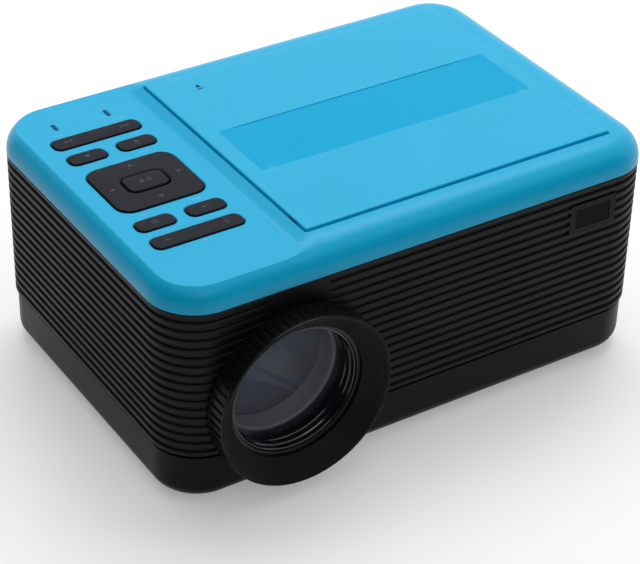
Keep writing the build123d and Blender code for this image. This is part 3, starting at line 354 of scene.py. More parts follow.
@dataclass(frozen=True)
class Board(Finish):
    """Circuit board: solder mask with tracks, pads and a fine weave."""

    def wire(self, graph: Graph) -> dict[str, Any]:
        """Tracks are the thin joints of a brick pattern, pads are the middles of small cells."""
        where = graph.place()
        tracks = graph.node("ShaderNodeTexBrick", {"offset": 0.35, "squash": 0.7, "squash_frequency": 3}, {
            "Vector": where, "Scale": 160.0, "Mortar Size": 0.05, "Mortar Smooth": 0.3}, out="Fac")
        cell = graph.node("ShaderNodeTexVoronoi", {"feature": "F1"}, {"Vector": where, "Scale": 230.0}, out="Distance")
        pads = 1.0 - cell.between(0.12, 0.2)
        weave = graph.noise(where, 900.0, 1.0)
        mask = graph.mix(tracks * 0.7, self.colour, tuple(min(1.0, c * 2.2 + 0.01) for c in self.colour))
        return {
            "Base Color": graph.mix(pads * 0.8, mask, (0.62, 0.6, 0.52)),
            "Metallic": pads * 0.8,
            "Roughness": weave * 0.12 + self.rough,
            "Normal": graph.node("ShaderNodeBump", sockets={
                "Strength": 0.5, "Distance": 0.03 * MM, "Height": tracks + pads}),
        }


class Look(Enum):
    """Finishes of the object, one for each material slot and a few of the scene's own."""

    COVER = Moulded("cover_blue", (0.004, 0.47, 0.80), 0.3, 0.24, drift=0.01, grain=0.001, edge_highlight=0.1, haze=0.03)
    LID = Moulded("lid_blue", (0.004, 0.48, 0.80), 0.3, 0.26, drift=0.01, grain=0.0005, edge_highlight=0.1, haze=0.02)
    BAND = Moulded("band_blue", (0.0, 0.43, 0.76), 0.12, 0.08, drift=0.01, grain=0.0, edge_highlight=0.05, haze=0.02)
    # rib edges lightened by the painted edge highlight
    SHELL = Moulded("shell_black", (0.0055, 0.0058, 0.007), 0.4, 0.14, drift=0.12, grain=0.003, edge_highlight=0.9)
    BASE = Moulded("base_black", (0.005, 0.0052, 0.006), 0.36, 0.1, drift=0.1, grain=0.002, edge=0.3, edge_highlight=0.3)
    PLATE = Moulded("plate_black", (0.0065, 0.0062, 0.0078), 0.34, 0.1, drift=0.1, grain=0.002, edge_highlight=0.15)
    KEY = Moulded("key_rubber_dark", (0.0095, 0.0102, 0.0185), 0.5, 0.1, drift=0.08, grain=0.004, edge_highlight=0.4)
    PRINT = Moulded("key_print", (0.05, 0.05, 0.068), 0.5, 0.2, drift=0.05, edge_highlight=0.0)
    MARK = Moulded("pale_print", (0.22, 0.62, 0.85), 0.45, 0.2, drift=0.05, edge_highlight=0.0)
    LIGHT = Moulded("light_window_blue", (0.0, 0.07, 0.17), 0.35, 0.1, drift=0.1, grain=0.001, edge_highlight=0.0)
    # ring edges and tooth tips lightened by a strong painted highlight
    RING = Moulded("ring_black", (0.005, 0.0052, 0.006), 0.28, 0.1, drift=0.1, grain=0.002, edge=0.14, edge_highlight=1.0, glint=0.08)
    CONE = Grooved("ring_face_black", (0.006, 0.006, 0.007), 0.34, 0.12, drift=0.1, grain=0.002, edge=0.1, edge_highlight=0.2)
    BARREL = Moulded("barrel_gloss", (0.004, 0.004, 0.005), 0.11, 0.5, drift=0.1, grain=0.0004, edge_highlight=0.3, coat=0.4,
                     haze=0.03)
    SPACER = Moulded("spacer_grey", (0.62, 0.62, 0.68), 0.35, 0.4, drift=0.03, edge_highlight=0.2)
    # grey-violet body colour and blue patches: painted reflection on the rear glass element
    ELEMENT = ReflectionPatched("rear_element", (0.11, 0.107, 0.122), 0.12, 0.3, grain=0.0, edge_highlight=0.0, coat=0.2, haze=0.02)
    LENS = Coated("coated_glass", (0.10, 0.10, 0.13), 0.04)
    PANE = Glass("clear_pane", (0.8, 0.84, 0.84), 0.03)
    SMOKE = Moulded("smoke_window", (0.0012, 0.0013, 0.0017), 0.3, 0.05, drift=0.2, grain=0.0004, edge_highlight=0.0, haze=0.02)
    RUBBER = Moulded("foot_rubber", (0.012, 0.012, 0.012), 0.7, 0.25, drift=0.15, grain=0.01, edge_highlight=0.2)
    DAMPER = Moulded("damper_rubber", (0.03, 0.03, 0.032), 0.65, 0.3, drift=0.1, grain=0.01)
    BLACK = Moulded("inner_black", (0.018, 0.018, 0.02), 0.45, 0.4, drift=0.1, grain=0.008)
    GREY = Moulded("inner_grey", (0.10, 0.10, 0.11), 0.45, 0.4, drift=0.08, grain=0.006)
    PART = Moulded("board_part_black", (0.02, 0.02, 0.022), 0.35, 0.5, drift=0.1)
    STEEL = Metal("polished_steel", (0.62, 0.62, 0.63), 0.16)
    ZINC = Metal("zinc_steel", (0.5, 0.51, 0.52), 0.36)
    BRASS = Metal("turned_brass", (0.74, 0.55, 0.26), 0.25, stretch=(14.0, 14.0, 1.0))
    ALUMINIUM = Metal("drawn_aluminium", (0.66, 0.67, 0.69), 0.3, stretch=(1.0, 1.0, 12.0))
    BOARD = Board("green_board", (0.012, 0.11, 0.035), 0.32)


SLOT_LOOKS: dict[str, Look] = {
    "blue_cover": Look.COVER, "blue_lid": Look.LID, "black_shell": Look.SHELL, "black_base": Look.BASE,
    "black_plate": Look.PLATE, "foot_rubber": Look.RUBBER, "zinc_steel": Look.ZINC,
    "polished_steel": Look.STEEL, "brass": Look.BRASS, "smoke_window": Look.SMOKE, "board_part": Look.PART,
    "black_moulding": Look.BLACK, "grey_moulding": Look.GREY, "damper_rubber": Look.DAMPER,
    "green_board": Look.BOARD, "lens_glass": Look.LENS, "panel_glass": Look.PANE, "aluminium": Look.ALUMINIUM,
    "key_rubber": Look.KEY, "ring_black": Look.RING, "barrel_black": Look.BARREL, "spacer_grey": Look.SPACER,
}


# ------------------------------------------------------------------ surfaces
def rounded_outline(width: float, depth: float, radius: float, centre: Sequence[float] = (0.0, 0.0),
                    steps: int = 10) -> Array:
    """Rounded rectangle, counter-clockwise: corner centre + radius * (cos a, sin a) over a quarter at each corner.

    Args:
        width: size along the first axis.
        depth: size along the second axis.
        radius: corner radius, kept above a hair.
        centre: middle of the outline.
        steps: intervals in each corner.

    Returns:
        Points of shape (4 * (steps + 1), 2).
    """
    radius = max(radius, 1e-3)
    signs = np.array([(1, 1), (-1, 1), (-1, -1), (1, -1)], float)
    middles = signs * (width / 2 - radius, depth / 2 - radius)
    turn = np.arange(4)[:, None] * np.pi / 2 + np.linspace(0, np.pi / 2, steps + 1)[None, :]
    points = middles[:, None, :] + radius * np.stack([np.cos(turn), np.sin(turn)], -1)
    return points.reshape(-1, 2) + np.asarray(centre, float)


def densified(loop: Array, step: float) -> Array:
    """The closed loop with its long sides divided evenly into parts no longer than step."""
    nxt = np.roll(loop, -1, axis=0)
    count = np.maximum(1, np.ceil(np.linalg.norm(nxt - loop, axis=1) / step)).astype(int)
    owner = np.repeat(np.arange(len(loop)), count)
    share = (np.arange(count.sum()) - np.repeat(np.cumsum(count) - count, count)) / count[owner]
    return loop[owner] + (nxt - loop)[owner] * share[:, None]


def loft(rings: Array, closed: bool = False, caps: tuple[bool, bool] = (False, False)) -> Shell:
    """Skin over rings of equal length: quad (i, j), (i, j+1), (i+1, j+1), (i+1, j), round in j.

    Args:
        rings: points of shape (rings, points, 3).
        closed: whether the last ring joins the first.
        caps: whether the first and last rings are filled.

    Returns:
        Vertices and faces.
    """
    rows, columns = rings.shape[:2]
    i = np.arange(rows if closed else rows - 1)[:, None]
    j = np.arange(columns)[None, :]
    above, beside = (i + 1) % rows, (j + 1) % columns
    quads = np.stack([i * columns + j, i * columns + beside, above * columns + beside, above * columns + j], -1)
    faces = [tuple(q) for q in quads.reshape(-1, 4).tolist()]
    if caps[0]:
        faces.append(tuple(range(columns))[::-1])
    if caps[1]:
        faces.append(tuple(range((rows - 1) * columns, rows * columns)))
    return rings.reshape(-1, 3), faces


def lathe(profile: Sequence[tuple[float, float]], centre: tuple[float, float], steps: int = 96,
          closed: bool = False) -> Shell:
    """Profile (r, y) turned about the optical axis: (cx + r cos a, y, cz + r sin a)."""
    section = np.asarray(profile, float)
    turn = np.linspace(0, 2 * np.pi, steps, endpoint=False)[None, :]
    r, y = section[:, :1], section[:, 1:] + 0 * turn
    return loft(np.stack([centre[0] + r * np.cos(turn), y, centre[1] + r * np.sin(turn)], -1), closed)


def stacked(outline: Callable[[float], Array], profile: Sequence[tuple[float, float]], closed: bool = False,
            caps: tuple[bool, bool] = (False, False)) -> Shell:
    """Outline carried up a profile: ring = (outline(offset), z) for each (offset, z)."""
    rings = [np.column_stack([outline(offset), np.full(len(outline(offset)), z)]) for offset, z in profile]
    return loft(np.stack(rings), closed, caps)


def quarter(radius: float, steps: int = 4) -> list[tuple[float, float]]:
    """Quarter round over an outer edge: (-radius (1 - cos a), -radius (1 - sin a)) for a from 0 to 90 degrees."""
    return [(-radius * (1 - math.cos(a)), -radius * (1 - math.sin(a))) for a in np.linspace(0, math.pi / 2, steps + 1)]


def block(low: Sequence[float], high: Sequence[float]) -> Shell:
    """Box between two corners, as a capped loft of its plan."""
    (x0, y0, z0), (x1, y1, z1) = low, high
    plan = np.array([(x1, y0), (x1, y1), (x0, y1), (x0, y0)])
    return loft(np.stack([np.column_stack([plan, np.full(4, z)]) for z in (z0, z1)]), caps=(True, True))


def joined(parts: Sequence[Shell]) -> Shell:
    """Several shells as one, with their face numbers shifted."""
    points, faces, start = [], [], 0
    for vertices, polygons in parts:
        points.append(vertices)
        faces += [tuple(n + start for n in polygon) for polygon in polygons]
        start += len(vertices)
    return np.concatenate(points), faces


def piece(name: str, parts: Sequence[Shell], look: Look, body: str = "root", replaces: Sequence[str] = (),
          sharp: float = 32.0, extra: Sequence[tuple[Look, Sequence[Shell]]] = ()) -> bpy.types.Object:
    """Write shells in millimetres into one mesh object at the origin.

    Args:
        name: name of the piece.
        parts: its shells.
        look: its finish.
        body: the moving body that carries it.
        replaces: solids of the model that it stands for.
        sharp: angle above which an edge stays crisp.
        extra: further shells with finishes of their own.

    Returns:
        The object.
    """
    groups = [(look, list(parts)), *[(other, list(shells)) for other, shells in extra]]
    vertices, faces = joined([shell for _, shells in groups for shell in shells])
    mesh = bpy.data.meshes.new(name)
    mesh.from_pydata((vertices * MM).tolist(), [], faces)
    for other, _ in groups:
        mesh.materials.append(other.value.material())
    owners = np.repeat(np.arange(len(groups)), [sum(len(shell[1]) for shell in shells) for _, shells in groups])
    mesh.polygons.foreach_set("material_index", owners.astype(np.int32))
    made = bpy.data.objects.new(name, mesh)
    bpy.context.scene.collection.objects.link(made)
    tidy(mesh, sharp)
    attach(made, body)
    if replaces:
        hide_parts(*replaces)
    LOG.info("%s: %d faces", name, len(mesh.polygons))
    return made


def tidy(mesh: bpy.types.Mesh, sharp: float) -> None:
    """Merge doubled points, drop empty faces, and shade smooth up to the sharp angle."""
    work = bmesh.new()
    work.from_mesh(mesh)
    bmesh.ops.remove_doubles(work, verts=work.verts, dist=1e-6)
    bmesh.ops.dissolve_degenerate(work, edges=work.edges, dist=1e-7)
    work.to_mesh(mesh)
    work.free()
    mesh.shade_smooth()
    mesh.set_sharp_from_angle(angle=math.radians(sharp))
    mesh.update()


def carved(made: bpy.types.Object, cutters: Sequence[Shell], sharp: float = 32.0) -> None:
    """Subtract shells in millimetres from a piece, and keep the result in its mesh."""
    helpers = []
    for number, cutter in enumerate(cutters):
        mesh = bpy.data.meshes.new("cutter")
        mesh.from_pydata((cutter[0] * MM).tolist(), [], cutter[1])
        helper = bpy.data.objects.new("cutter", mesh)
        bpy.context.scene.collection.objects.link(helper)
        helpers.append(helper)
        change = made.modifiers.new(f"cut_{number}", "BOOLEAN")
        change.operation, change.solver, change.object = "DIFFERENCE", "EXACT", helper
    bpy.context.view_layer.update()
    result = bpy.data.meshes.new_from_object(made.evaluated_get(bpy.context.evaluated_depsgraph_get()))
    made.modifiers.clear()
    old, made.data = made.data, result
    result.name = made.name
    for helper in helpers:
        bpy.data.meshes.remove(helper.data)
    bpy.data.meshes.remove(old)
    tidy(result, sharp)


def refined(node: str, look: Look, body: str = "root", sharp: float = 30.0) -> bpy.types.Object:
    """A merged, smooth-shaded copy of a solid's mesh that stands for it."""
    mesh = frame["nodes"][node].data.copy()
    mesh.materials.clear()
    mesh.materials.append(look.value.material())
    mesh.polygons.foreach_set("material_index", np.zeros(len(mesh.polygons), np.int32))
    made = bpy.data.objects.new(f"{node}_surface", mesh)
    bpy.context.scene.collection.objects.link(made)
    tidy(mesh, sharp)
    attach(made, body)
    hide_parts(node)
    return made


# ------------------------------------------------------------------ casing
@dataclass
class Casing:
    """Ribbed black shell, smooth base and feet."""

    width: float = 240.0
    depth: float = 164.0
    corner: float = 22.0
    middle: float = 6.0
    bottom: float = 25.0
    seam: float = 97.0
    pitch: float = 4.25
    groove: float = 2.05
    rib: float = 0.9
    ribs: int = 17
    round_edge: float = 0.38
    wall: float = 2.5
    lens: tuple[float, float] = (-65.3, 47.3)
    hole: float = 31.5

    def outline(self, offset: float) -> Array:
        """Plan of the shell, offset inwards."""
        return rounded_outline(self.width - 2 * offset, self.depth - 2 * offset, self.corner - offset,
                               (0.0, self.middle), 14)

    def profile(self) -> list[tuple[float, float]]:
        """Section from the bottom up: each rib is a flat crest between two quarter rounds, then down the inside."""
        section: list[tuple[float, float]] = [(self.wall, self.bottom)]
        arc = np.linspace(0, math.pi / 2, 4)
        for rib in reversed(range(self.ribs)):
            top = self.seam - self.pitch * rib
            low = max(self.bottom, top - self.pitch + self.groove)
            e = self.round_edge
            if rib < self.ribs - 1:
                section.append((self.rib, low))
            section += [(e * (1 - math.sin(a)), low + e * (1 - math.cos(a))) for a in arc]
            section += [(e * (1 - math.cos(a)), top - e * (1 - math.sin(a))) for a in arc]
            if rib:
                section.append((self.rib, top))
        section.append((self.wall, self.seam))
        return section

    def cylinder(self, radius: float, front: float, back: float) -> Shell:
        """Closed cylinder about the optical axis."""
        return lathe([(0.0, back), (radius, back), (radius, front), (0.0, front)], self.lens, 128)

    def build(self) -> None:
        """Make the shell with its openings, and smooth copies of the base and feet."""
        shell = piece("ribbed_shell", [stacked(self.outline, self.profile(), closed=True)], Look.SHELL,
                      replaces=["body_shell"])
        front, rear = self.middle - self.depth / 2, self.middle + self.depth / 2
        carved(shell, [
            self.cylinder(self.hole, front - 2, front + 6),
            block((-78.5, front - 1, 47.3), (-48.5, front + self.rib, 97.5)),
            block((73.2, front - 1, 74.7), (97.6, front + self.rib, 89.2)),
            block((76.2, front - 1, 77.2), (94.6, front + 4, 86.7)),
            block((-96.3, rear - 4, 25.3), (-34.3, rear + 1, 69.3)),
            block((-24.0, rear - 4, 25.5), (92.0, rear + 1, 41.5)),
        ])
        refined("base_tray", Look.BASE)
        refined("feet", Look.RUBBER)
        refined("lens_plate", Look.PLATE)
        refined("ir_plate", Look.PLATE)
        refined("ir_window", Look.SMOKE)
        refined("light_pipes", Look.LIGHT)
        refined("lid_hinge_pins", Look.COVER)


# ------------------------------------------------------------------ top cover
# row and column of each key on the pad, with its width and depth
KEYS = {
    "upper_rocker": (45.4, 0.0, 41.0, 8.7), "lower_rocker": (-42.1, 0.0, 41.0, 8.7),
    "rear_left_key": (31.1, -11.7, 17.2, 8.3), "rear_right_key": (31.1, 11.7, 17.2, 8.3),
    "front_left_key": (-28.0, -11.7, 17.2, 8.3), "front_right_key": (-28.0, 11.7, 17.2, 8.3),
}
NAV = (40.6, 36.5, 6.5)
NAV_ROW = 1.5
PIVOT = (6.55, 103.7)


@dataclass
class TopCover:
    """Blue cover: round shoulder, pad cut into the crown, key openings and the lid opening."""

    width: float = 240.0
    depth: float = 164.0
    corner: float = 22.0
    middle: float = 6.0
    seam: float = 97.0
    top: float = 110.0
    shoulder: float = 12.0
    pad: float = 107.5
    under: float = 105.0
    ramp_x: float = -57.0
    ramp_slope: float = 0.446
    ramp_corner: float = 8.0
    pad_front: float = -71.3
    wall: float = 2.5
    lip: float = 0.35
    lid_low: tuple[float, float] = (-51.4, -61.7)
    lid_high: tuple[float, float] = (102.9, 74.7)
    lid_rim: float = 99.0
    key_gap: float = 0.45
    pad_x: float = -86.4
    key_corner: float = 3.2

    def outline(self, offset: float) -> Array:
        """Plan of the cover, offset inwards and finely divided."""
        base = rounded_outline(self.width, self.depth, self.corner, (0.0, self.middle), 18)
        fine = densified(base, 4.0)
        core = np.clip(fine - (0.0, self.middle), (-self.width / 2 + self.corner, -self.depth / 2 + self.corner),
                       (self.width / 2 - self.corner, self.depth / 2 - self.corner)) + (0.0, self.middle)
        away = fine - core
        normal = away / np.linalg.norm(away, axis=1, keepdims=True)
        return core + normal * (self.corner - offset)

    def crown(self, offset: Array) -> Array:
        """Height of the shoulder: z = top - r + sqrt(r^2 - (r - d)^2) up to d = r, then flat."""
        reach = self.shoulder - np.minimum(offset, self.shoulder)
        return self.top - self.shoulder + np.sqrt(np.maximum(self.shoulder**2 - reach**2, 0.0))

    def pad_plane(self, x: Array, y: Array) -> Array:
        """Pad height: flat, then slope * soft(d), d beyond a line with a round corner, soft(d) = (d + sqrt(d^2 + 1)) / 2."""
        corner = (self.ramp_x - self.ramp_corner, self.pad_front + self.ramp_corner)
        beyond = np.where(y < corner[1], np.hypot(np.maximum(x - corner[0], 0), y - corner[1]) - self.ramp_corner,
                          x - self.ramp_x)
        beyond = np.where((x < corner[0]) & (y < corner[1]), -20.0, beyond)
        return self.pad + self.ramp_slope * (beyond + np.sqrt(beyond**2 + 1.0)) / 2

    def height(self, x: Array, y: Array) -> Array:
        """Top of the cover inside the shoulder: the lower of the crown and the pad."""
        return np.minimum(self.top, self.pad_plane(x, y))

    def openings(self, grow: float = 0.0) -> list[Array]:
        """Plan loops of the key and light openings, grown outwards."""
        x, g, m = self.pad_x, self.key_gap + grow, self.middle
        loops = [rounded_outline(width + 2 * g, depth + 2 * g, self.key_corner + g, (x + column, m + row), 8)
                 for row, column, width, depth in KEYS.values()]
        loops.append(rounded_outline(NAV[0] + 2 * g, NAV[1] + 2 * g, NAV[2] + g, (x, m + NAV_ROW), 8))
        loops += [rounded_outline(1.6 + 2 * grow, 5.5 + 2 * grow, 0.8 + grow, (x + s * 12.6, m + 60.0), 5) for s in (-1, 1)]
        return loops

    def lid_loop(self, grow: float = 0.0) -> Array:
        """Plan of the lid opening, grown outwards."""
        (x0, y0), (x1, y1) = self.lid_low, self.lid_high
        return densified(rounded_outline(x1 - x0 + 2 * grow, y1 - y0 + 2 * grow, 0.8 + grow,
                                         ((x0 + x1) / 2, (y0 + y1) / 2), 3), 4.0)

    def filled(self, outer: Array, holes: Sequence[Array], height: Callable[[Array, Array], Array],
               extra: Array, up: bool) -> Shell:
        """Flat region with holes, triangulated in plan and lifted by a height formula.

        Args:
            outer: outer loop, counter-clockwise.
            holes: inner loops.
            height: z as a function of x and y.
            extra: inner points that follow the ramp.
            up: whether the faces look up.

        Returns:
            Vertices and faces.
        """
        loops = [outer, *holes]
        starts = np.cumsum([0, *[len(loop) for loop in loops]])
        points = np.concatenate([*loops, extra])
        faces = [list(range(a, b)) for a, b in zip(starts[:-1], starts[1:])]
        found = delaunay_2d_cdt([tuple(p) for p in points.tolist()], [], faces, 1, 1e-6)
        plan = np.array([tuple(v) for v in found[0]], float)
        triangles = np.array([f for f, inside in zip(found[2], found[5]) if list(inside) == [0]], int)
        a, b, c = (plan[triangles[:, k]] for k in range(3))
        turn = (b[:, 0] - a[:, 0]) * (c[:, 1] - a[:, 1]) - (b[:, 1] - a[:, 1]) * (c[:, 0] - a[:, 0])
        flip = (turn > 0) != up
        triangles[flip] = triangles[flip][:, ::-1]
        return np.column_stack([plan, height(plan[:, 0], plan[:, 1])]), [tuple(t) for t in triangles.tolist()]

    def build(self) -> None:
        """Make the closed skin: shoulder rings up to the break, filled top, opening rims, inner wall and underside."""
        fine = self.outline(0.0)
        low, high = np.zeros(len(fine)), np.full(len(fine), self.shoulder)
        core = self.outline(self.corner)
        normal = (fine - core) / self.corner
        for _ in range(40):
            mid = (low + high) / 2
            at = core + normal * (self.corner - mid)[:, None]
            above = self.crown(mid) > self.pad_plane(at[:, 0], at[:, 1])
            low, high = np.where(above, low, mid), np.where(above, mid, high)
        broken = np.where(high > self.shoulder - 1e-6, self.shoulder, high)
        share = np.sin(np.linspace(0, np.pi / 2, 15))[:, None]
        angle = np.arccos(1 - broken / self.shoulder)[None, :] * np.linspace(0, 1, 15)[:, None]
        offset = self.shoulder * (1 - np.cos(angle))
        plan = core[None] + normal[None] * (self.corner - offset)[..., None]
        rings = np.concatenate([plan, self.crown(offset)[..., None]], -1)
        inner = [(4.8, self.under), (self.wall, 100.0), (self.wall, self.seam), (0.0, self.seam)]
        skirt = [np.column_stack([self.outline(o), np.full(len(fine), z)]) for o, z in inner]
        outside = loft(np.concatenate([np.stack(skirt), rings]))
        keys = self.openings()
        wide = self.openings(self.lip)
        lid = self.lid_loop()
        ys = np.arange(-70.0, 84.0, 3.0)
        steps = np.array([-62.0, -60.0, -59.0, -58.4, -57.8, -57.2, -56.6, -56.0, -55.2, -54.2, -53.0])
        ramp = np.stack(np.meshgrid(steps, ys), -1).reshape(-1, 2)
        front = np.stack(np.meshgrid(np.arange(-66.0, -44.0, 1.1), np.arange(-69.5, -62.5, 1.1)), -1).reshape(-1, 2)
        extra = np.concatenate([ramp, front])
        border = rings[-1, :, :2]
        edge = np.abs(extra[:, 1] - self.middle) < self.depth / 2 - self.shoulder - 0.6
        extra = extra[edge & ((extra[:, 0] < -52.2) | (extra[:, 1] < -62.4))]
        top = self.filled(border, [*wide, self.lid_loop(self.lip)], self.height, extra, True)
        level = lambda x, y: np.full(len(x), self.under)
        shelf = self.lid_loop(2.0)
        below = self.filled(self.outline(4.8), [*keys, shelf], level, np.zeros((0, 2)), False)
        rims = [self.rim(loop, grown, self.under) for loop, grown in zip(keys, wide)]
        rims.append(self.rim(lid, self.lid_loop(self.lip), self.lid_rim))
        rims.append(loft(np.stack([np.column_stack([lid, np.full(len(lid), self.lid_rim)]),
                                   np.column_stack([shelf, np.full(len(lid), self.lid_rim)]),
                                   np.column_stack([shelf, np.full(len(lid), self.under)])])))
        rims = [(points, [face[::-1] for face in faces]) for points, faces in rims[:-1]] + [
            (rims[-1][0], rims[-1][1])]
        piece("cover_skin", [outside, top, below, *rims], Look.COVER, replaces=["upper_cover"],
              sharp=24.0, extra=[(Look.BLACK, self.posts())])
        LOG.info("cover break from %.2f to %.2f mm, %d steps", broken.min(), broken.max(), len(share))

    def rim(self, loop: Array, grown: Array, bottom: float) -> Shell:
        """Rounded rim of an opening: quarter round from the top surface into the opening, then straight down."""
        z = self.height(grown[:, 0], grown[:, 1])
        rows = []
        for a in np.linspace(0, np.pi / 2, 4):
            plan = loop + (grown - loop) * (1 - np.sin(a))
            rows.append(np.column_stack([plan, z - self.lip * (1 - np.cos(a))]))
        rows.append(np.column_stack([loop, np.full(len(loop), bottom)]))
        return loft(np.stack(rows))

    def posts(self) -> list[Shell]:
        """Screw posts below the cover, tubes of radius 4 with a bore of 1.55, and the brackets of the key pivots."""
        ring = lambda r, x, y: rounded_outline(2 * r, 2 * r, r, (x, y), 6)
        tubes = [stacked(lambda o, x=x, y=y: ring(4.0 - o, x, y), [(2.45, 30.0), (0.0, 30.0), (0.0, 104.9), (2.45, 104.9)],
                         closed=True) for x in (-110.0, 110.0) for y in (-54.0, 66.0)]
        x, y = self.pad_x, self.middle + NAV_ROW
        hangers = [block((x + s * 22.9 - 1, y - 2, 98.9), (x + s * 22.9 + 1, y + 2, self.under)) for s in (-1, 1)]
        rows = [self.middle + KEYS[name][0] + s * PIVOT[0] for name in ("upper_rocker", "lower_rocker") for s in (-1, 1)]
        return tubes + hangers + [block((x - 2, row - 0.7, 102.0), (x + 2, row + 0.7, self.under)) for row in rows]


# ------------------------------------------------------------------ disc lid
@dataclass
class DiscLid:
    """Lid with a shallow glossy band, skirts and hinge ears."""

    low: tuple[float, float] = (-51.0, -61.0)
    high: tuple[float, float] = (102.5, 74.0)
    top: float = 111.0
    under: float = 108.6
    edge: float = 0.8
    band_x: tuple[float, float] = (-44.75, 96.25)
    band_y: tuple[float, float] = (-14.5, 22.5)
    band_drop: float = 0.4
    band_run: float = 16.0
    skirt: float = 3.6
    skirt_wall: float = 1.5
    hinge: tuple[float, float] = (-51.0, 107.8)
    ear: float = 3.0
    ear_radius: float = 3.2

    def samples(self, low: float, high: float, marks: Sequence[float], step: float) -> Array:
        """Grid lines: even steps, close lines in the rounded edges, and the marks."""
        close = self.edge * (1 - np.cos(np.linspace(0, np.pi / 2, 6)))
        return np.unique(np.round(np.concatenate([
            low + close, high - close, np.arange(low + 2, high - 2, step), np.asarray(marks, float)]), 5))

    def fall(self, away: Array) -> Array:
        """Edge round: e - sqrt(e^2 - (e - d)^2) for d below e, else 0."""
        reach = self.edge - np.clip(away, 0, self.edge)
        return self.edge - np.sqrt(self.edge**2 - reach**2 + 1e-12)

    def surface(self) -> tuple[Array, Array, Array]:
        """Grid of the top: z = top - edge falls - band_drop * step across * soft run along."""
        (x0, y0), (x1, y1) = self.low, self.high
        b0, b1 = self.band_y
        marks = [b0 - 0.02, b0 + 0.3, b1 - 0.3, b1 + 0.02]
        xs = self.samples(x0, x1, [*np.linspace(self.band_x[0], self.band_x[0] + self.band_run, 9),
                                   *np.linspace(self.band_x[1] - self.band_run, self.band_x[1], 9)], 6.0)
        ys = self.samples(y0, y1, marks, 6.0)
        x, y = np.meshgrid(xs, ys)
        run = np.clip(np.minimum(x - self.band_x[0], self.band_x[1] - x) / self.band_run, 0, 1)
        across = np.clip(np.minimum(y - b0, b1 - y) / 0.3, 0, 1)
        z = self.top - self.fall(np.minimum(x - x0, x1 - x)) - self.fall(np.minimum(y - y0, y1 - y))
        z = z - self.band_drop * (run**2 * (3 - 2 * run)) * across
        return x, y, np.maximum(z, self.top - 1.2)

    def top_faces(self) -> tuple[Shell, Shell]:
        """The top as plain and band faces, with the walls down to the underside and the underside."""
        x, y, z = self.surface()
        rows, columns = x.shape
        i, j = np.arange(rows - 1)[:, None], np.arange(columns - 1)[None, :]
        quads = np.stack([i * columns + j, i * columns + j + 1, (i + 1) * columns + j + 1, (i + 1) * columns + j], -1)
        middle_y, middle_x = (y[:-1, :-1] + y[1:, 1:]) / 2, (x[:-1, :-1] + x[1:, 1:]) / 2
        inside = ((middle_y > self.band_y[0]) & (middle_y < self.band_y[1])
                  & (middle_x > self.band_x[0] + 1.5) & (middle_x < self.band_x[1] - 1.5))
        points = np.stack([x, y, z], -1).reshape(-1, 3)
        around = np.concatenate([np.arange(columns), np.arange(1, rows) * columns + columns - 1,
                                 (rows - 1) * columns + np.arange(columns - 2, -1, -1),
                                 np.arange(rows - 2, 0, -1) * columns])
        border = points[around]
        below = np.column_stack([border[:, :2], np.full(len(border), self.under)])
        walls = loft(np.stack([below, border]), caps=(True, False))
        plain = (points, [tuple(q) for q in quads[~inside].tolist()])
        band = (points, [tuple(q) for q in quads[inside].tolist()])
        return joined([plain, walls]), band

    def hook_ears(self) -> list[Shell]:
        """Skirts on the sides and the rear, and round ears on the hinge axis."""
        (x0, y0), (x1, y1) = self.low, self.high
        start, w, z0, z1 = self.hinge[0] + 2, self.skirt_wall, self.under - self.skirt, self.under
        parts = [block((x0, start, z0), (x0 + w, y1, z1)), block((x1 - w, start, z0), (x1, y1, z1)),
                 block((x0 + w, y1 - w, z0), (x1 - w, y1, z1))]
        turn = np.linspace(0, 2 * np.pi, 40, endpoint=False)
        ring = np.stack([self.hinge[0] + self.ear_radius * np.cos(turn),
                         self.hinge[1] + self.ear_radius * np.sin(turn)], -1)
        for left in (x0, x1 - self.ear):
            rings = [np.column_stack([np.full(40, place), ring]) for place in (left, left + self.ear)]
            parts.append(loft(np.stack(rings), caps=(True, True)))
        return parts

    def build(self) -> None:
        """Make the lid and its open mark."""
        plain, band = self.top_faces()
        piece("lid_panel", [plain, *self.hook_ears()], Look.LID, "lid", ["disc_lid"], 30.0,
              [(Look.BAND, [band])])
        raise_mark = Marks(self.top - 0.04, 0.04)
        piece("lid_mark", raise_mark.open_mark((-31.0, 60.0)), Look.MARK, "lid")


# ------------------------------------------------------------------ symbols
@dataclass
class Marks:
    """Flat generic symbols, thin prisms on a surface at a height."""

    level: float
    lift: float = 0.05
    sink: float = 0.2

    def prism(self, plan: Sequence[tuple[float, float]]) -> Shell:
        """Closed prism over a counter-clockwise plan."""
        flat = np.asarray(plan, float)
        area = np.sum(flat[:, 0] * np.roll(flat[:, 1], -1) - np.roll(flat[:, 0], -1) * flat[:, 1])
        flat = flat if area > 0 else flat[::-1]
        rings = [np.column_stack([flat, np.full(len(flat), z)]) for z in (self.level - self.sink, self.level + self.lift)]
        return loft(np.stack(rings), caps=(True, True))

    def bar(self, x: float, y: float, width: float, depth: float) -> Shell:
        """Rectangle with its middle at x, y."""
        return self.prism([(x - width / 2, y - depth / 2), (x + width / 2, y - depth / 2),
                           (x + width / 2, y + depth / 2), (x - width / 2, y + depth / 2)])

    def arrow(self, x: float, y: float, size: float, turn: float) -> Shell:
        """Triangle that points along an angle in degrees."""
        angles = np.radians(turn) + np.array([0.0, 2.2, -2.2])
        return self.prism([(x + size * math.cos(a), y + size * math.sin(a)) for a in angles])

    def open_mark(self, place: tuple[float, float]) -> list[Shell]:
        """A small arrow over a bar."""
        return [self.arrow(place[0], place[1] + 1.2, 1.5, 90.0), self.bar(place[0], place[1] - 1.2, 3.6, 0.6)]


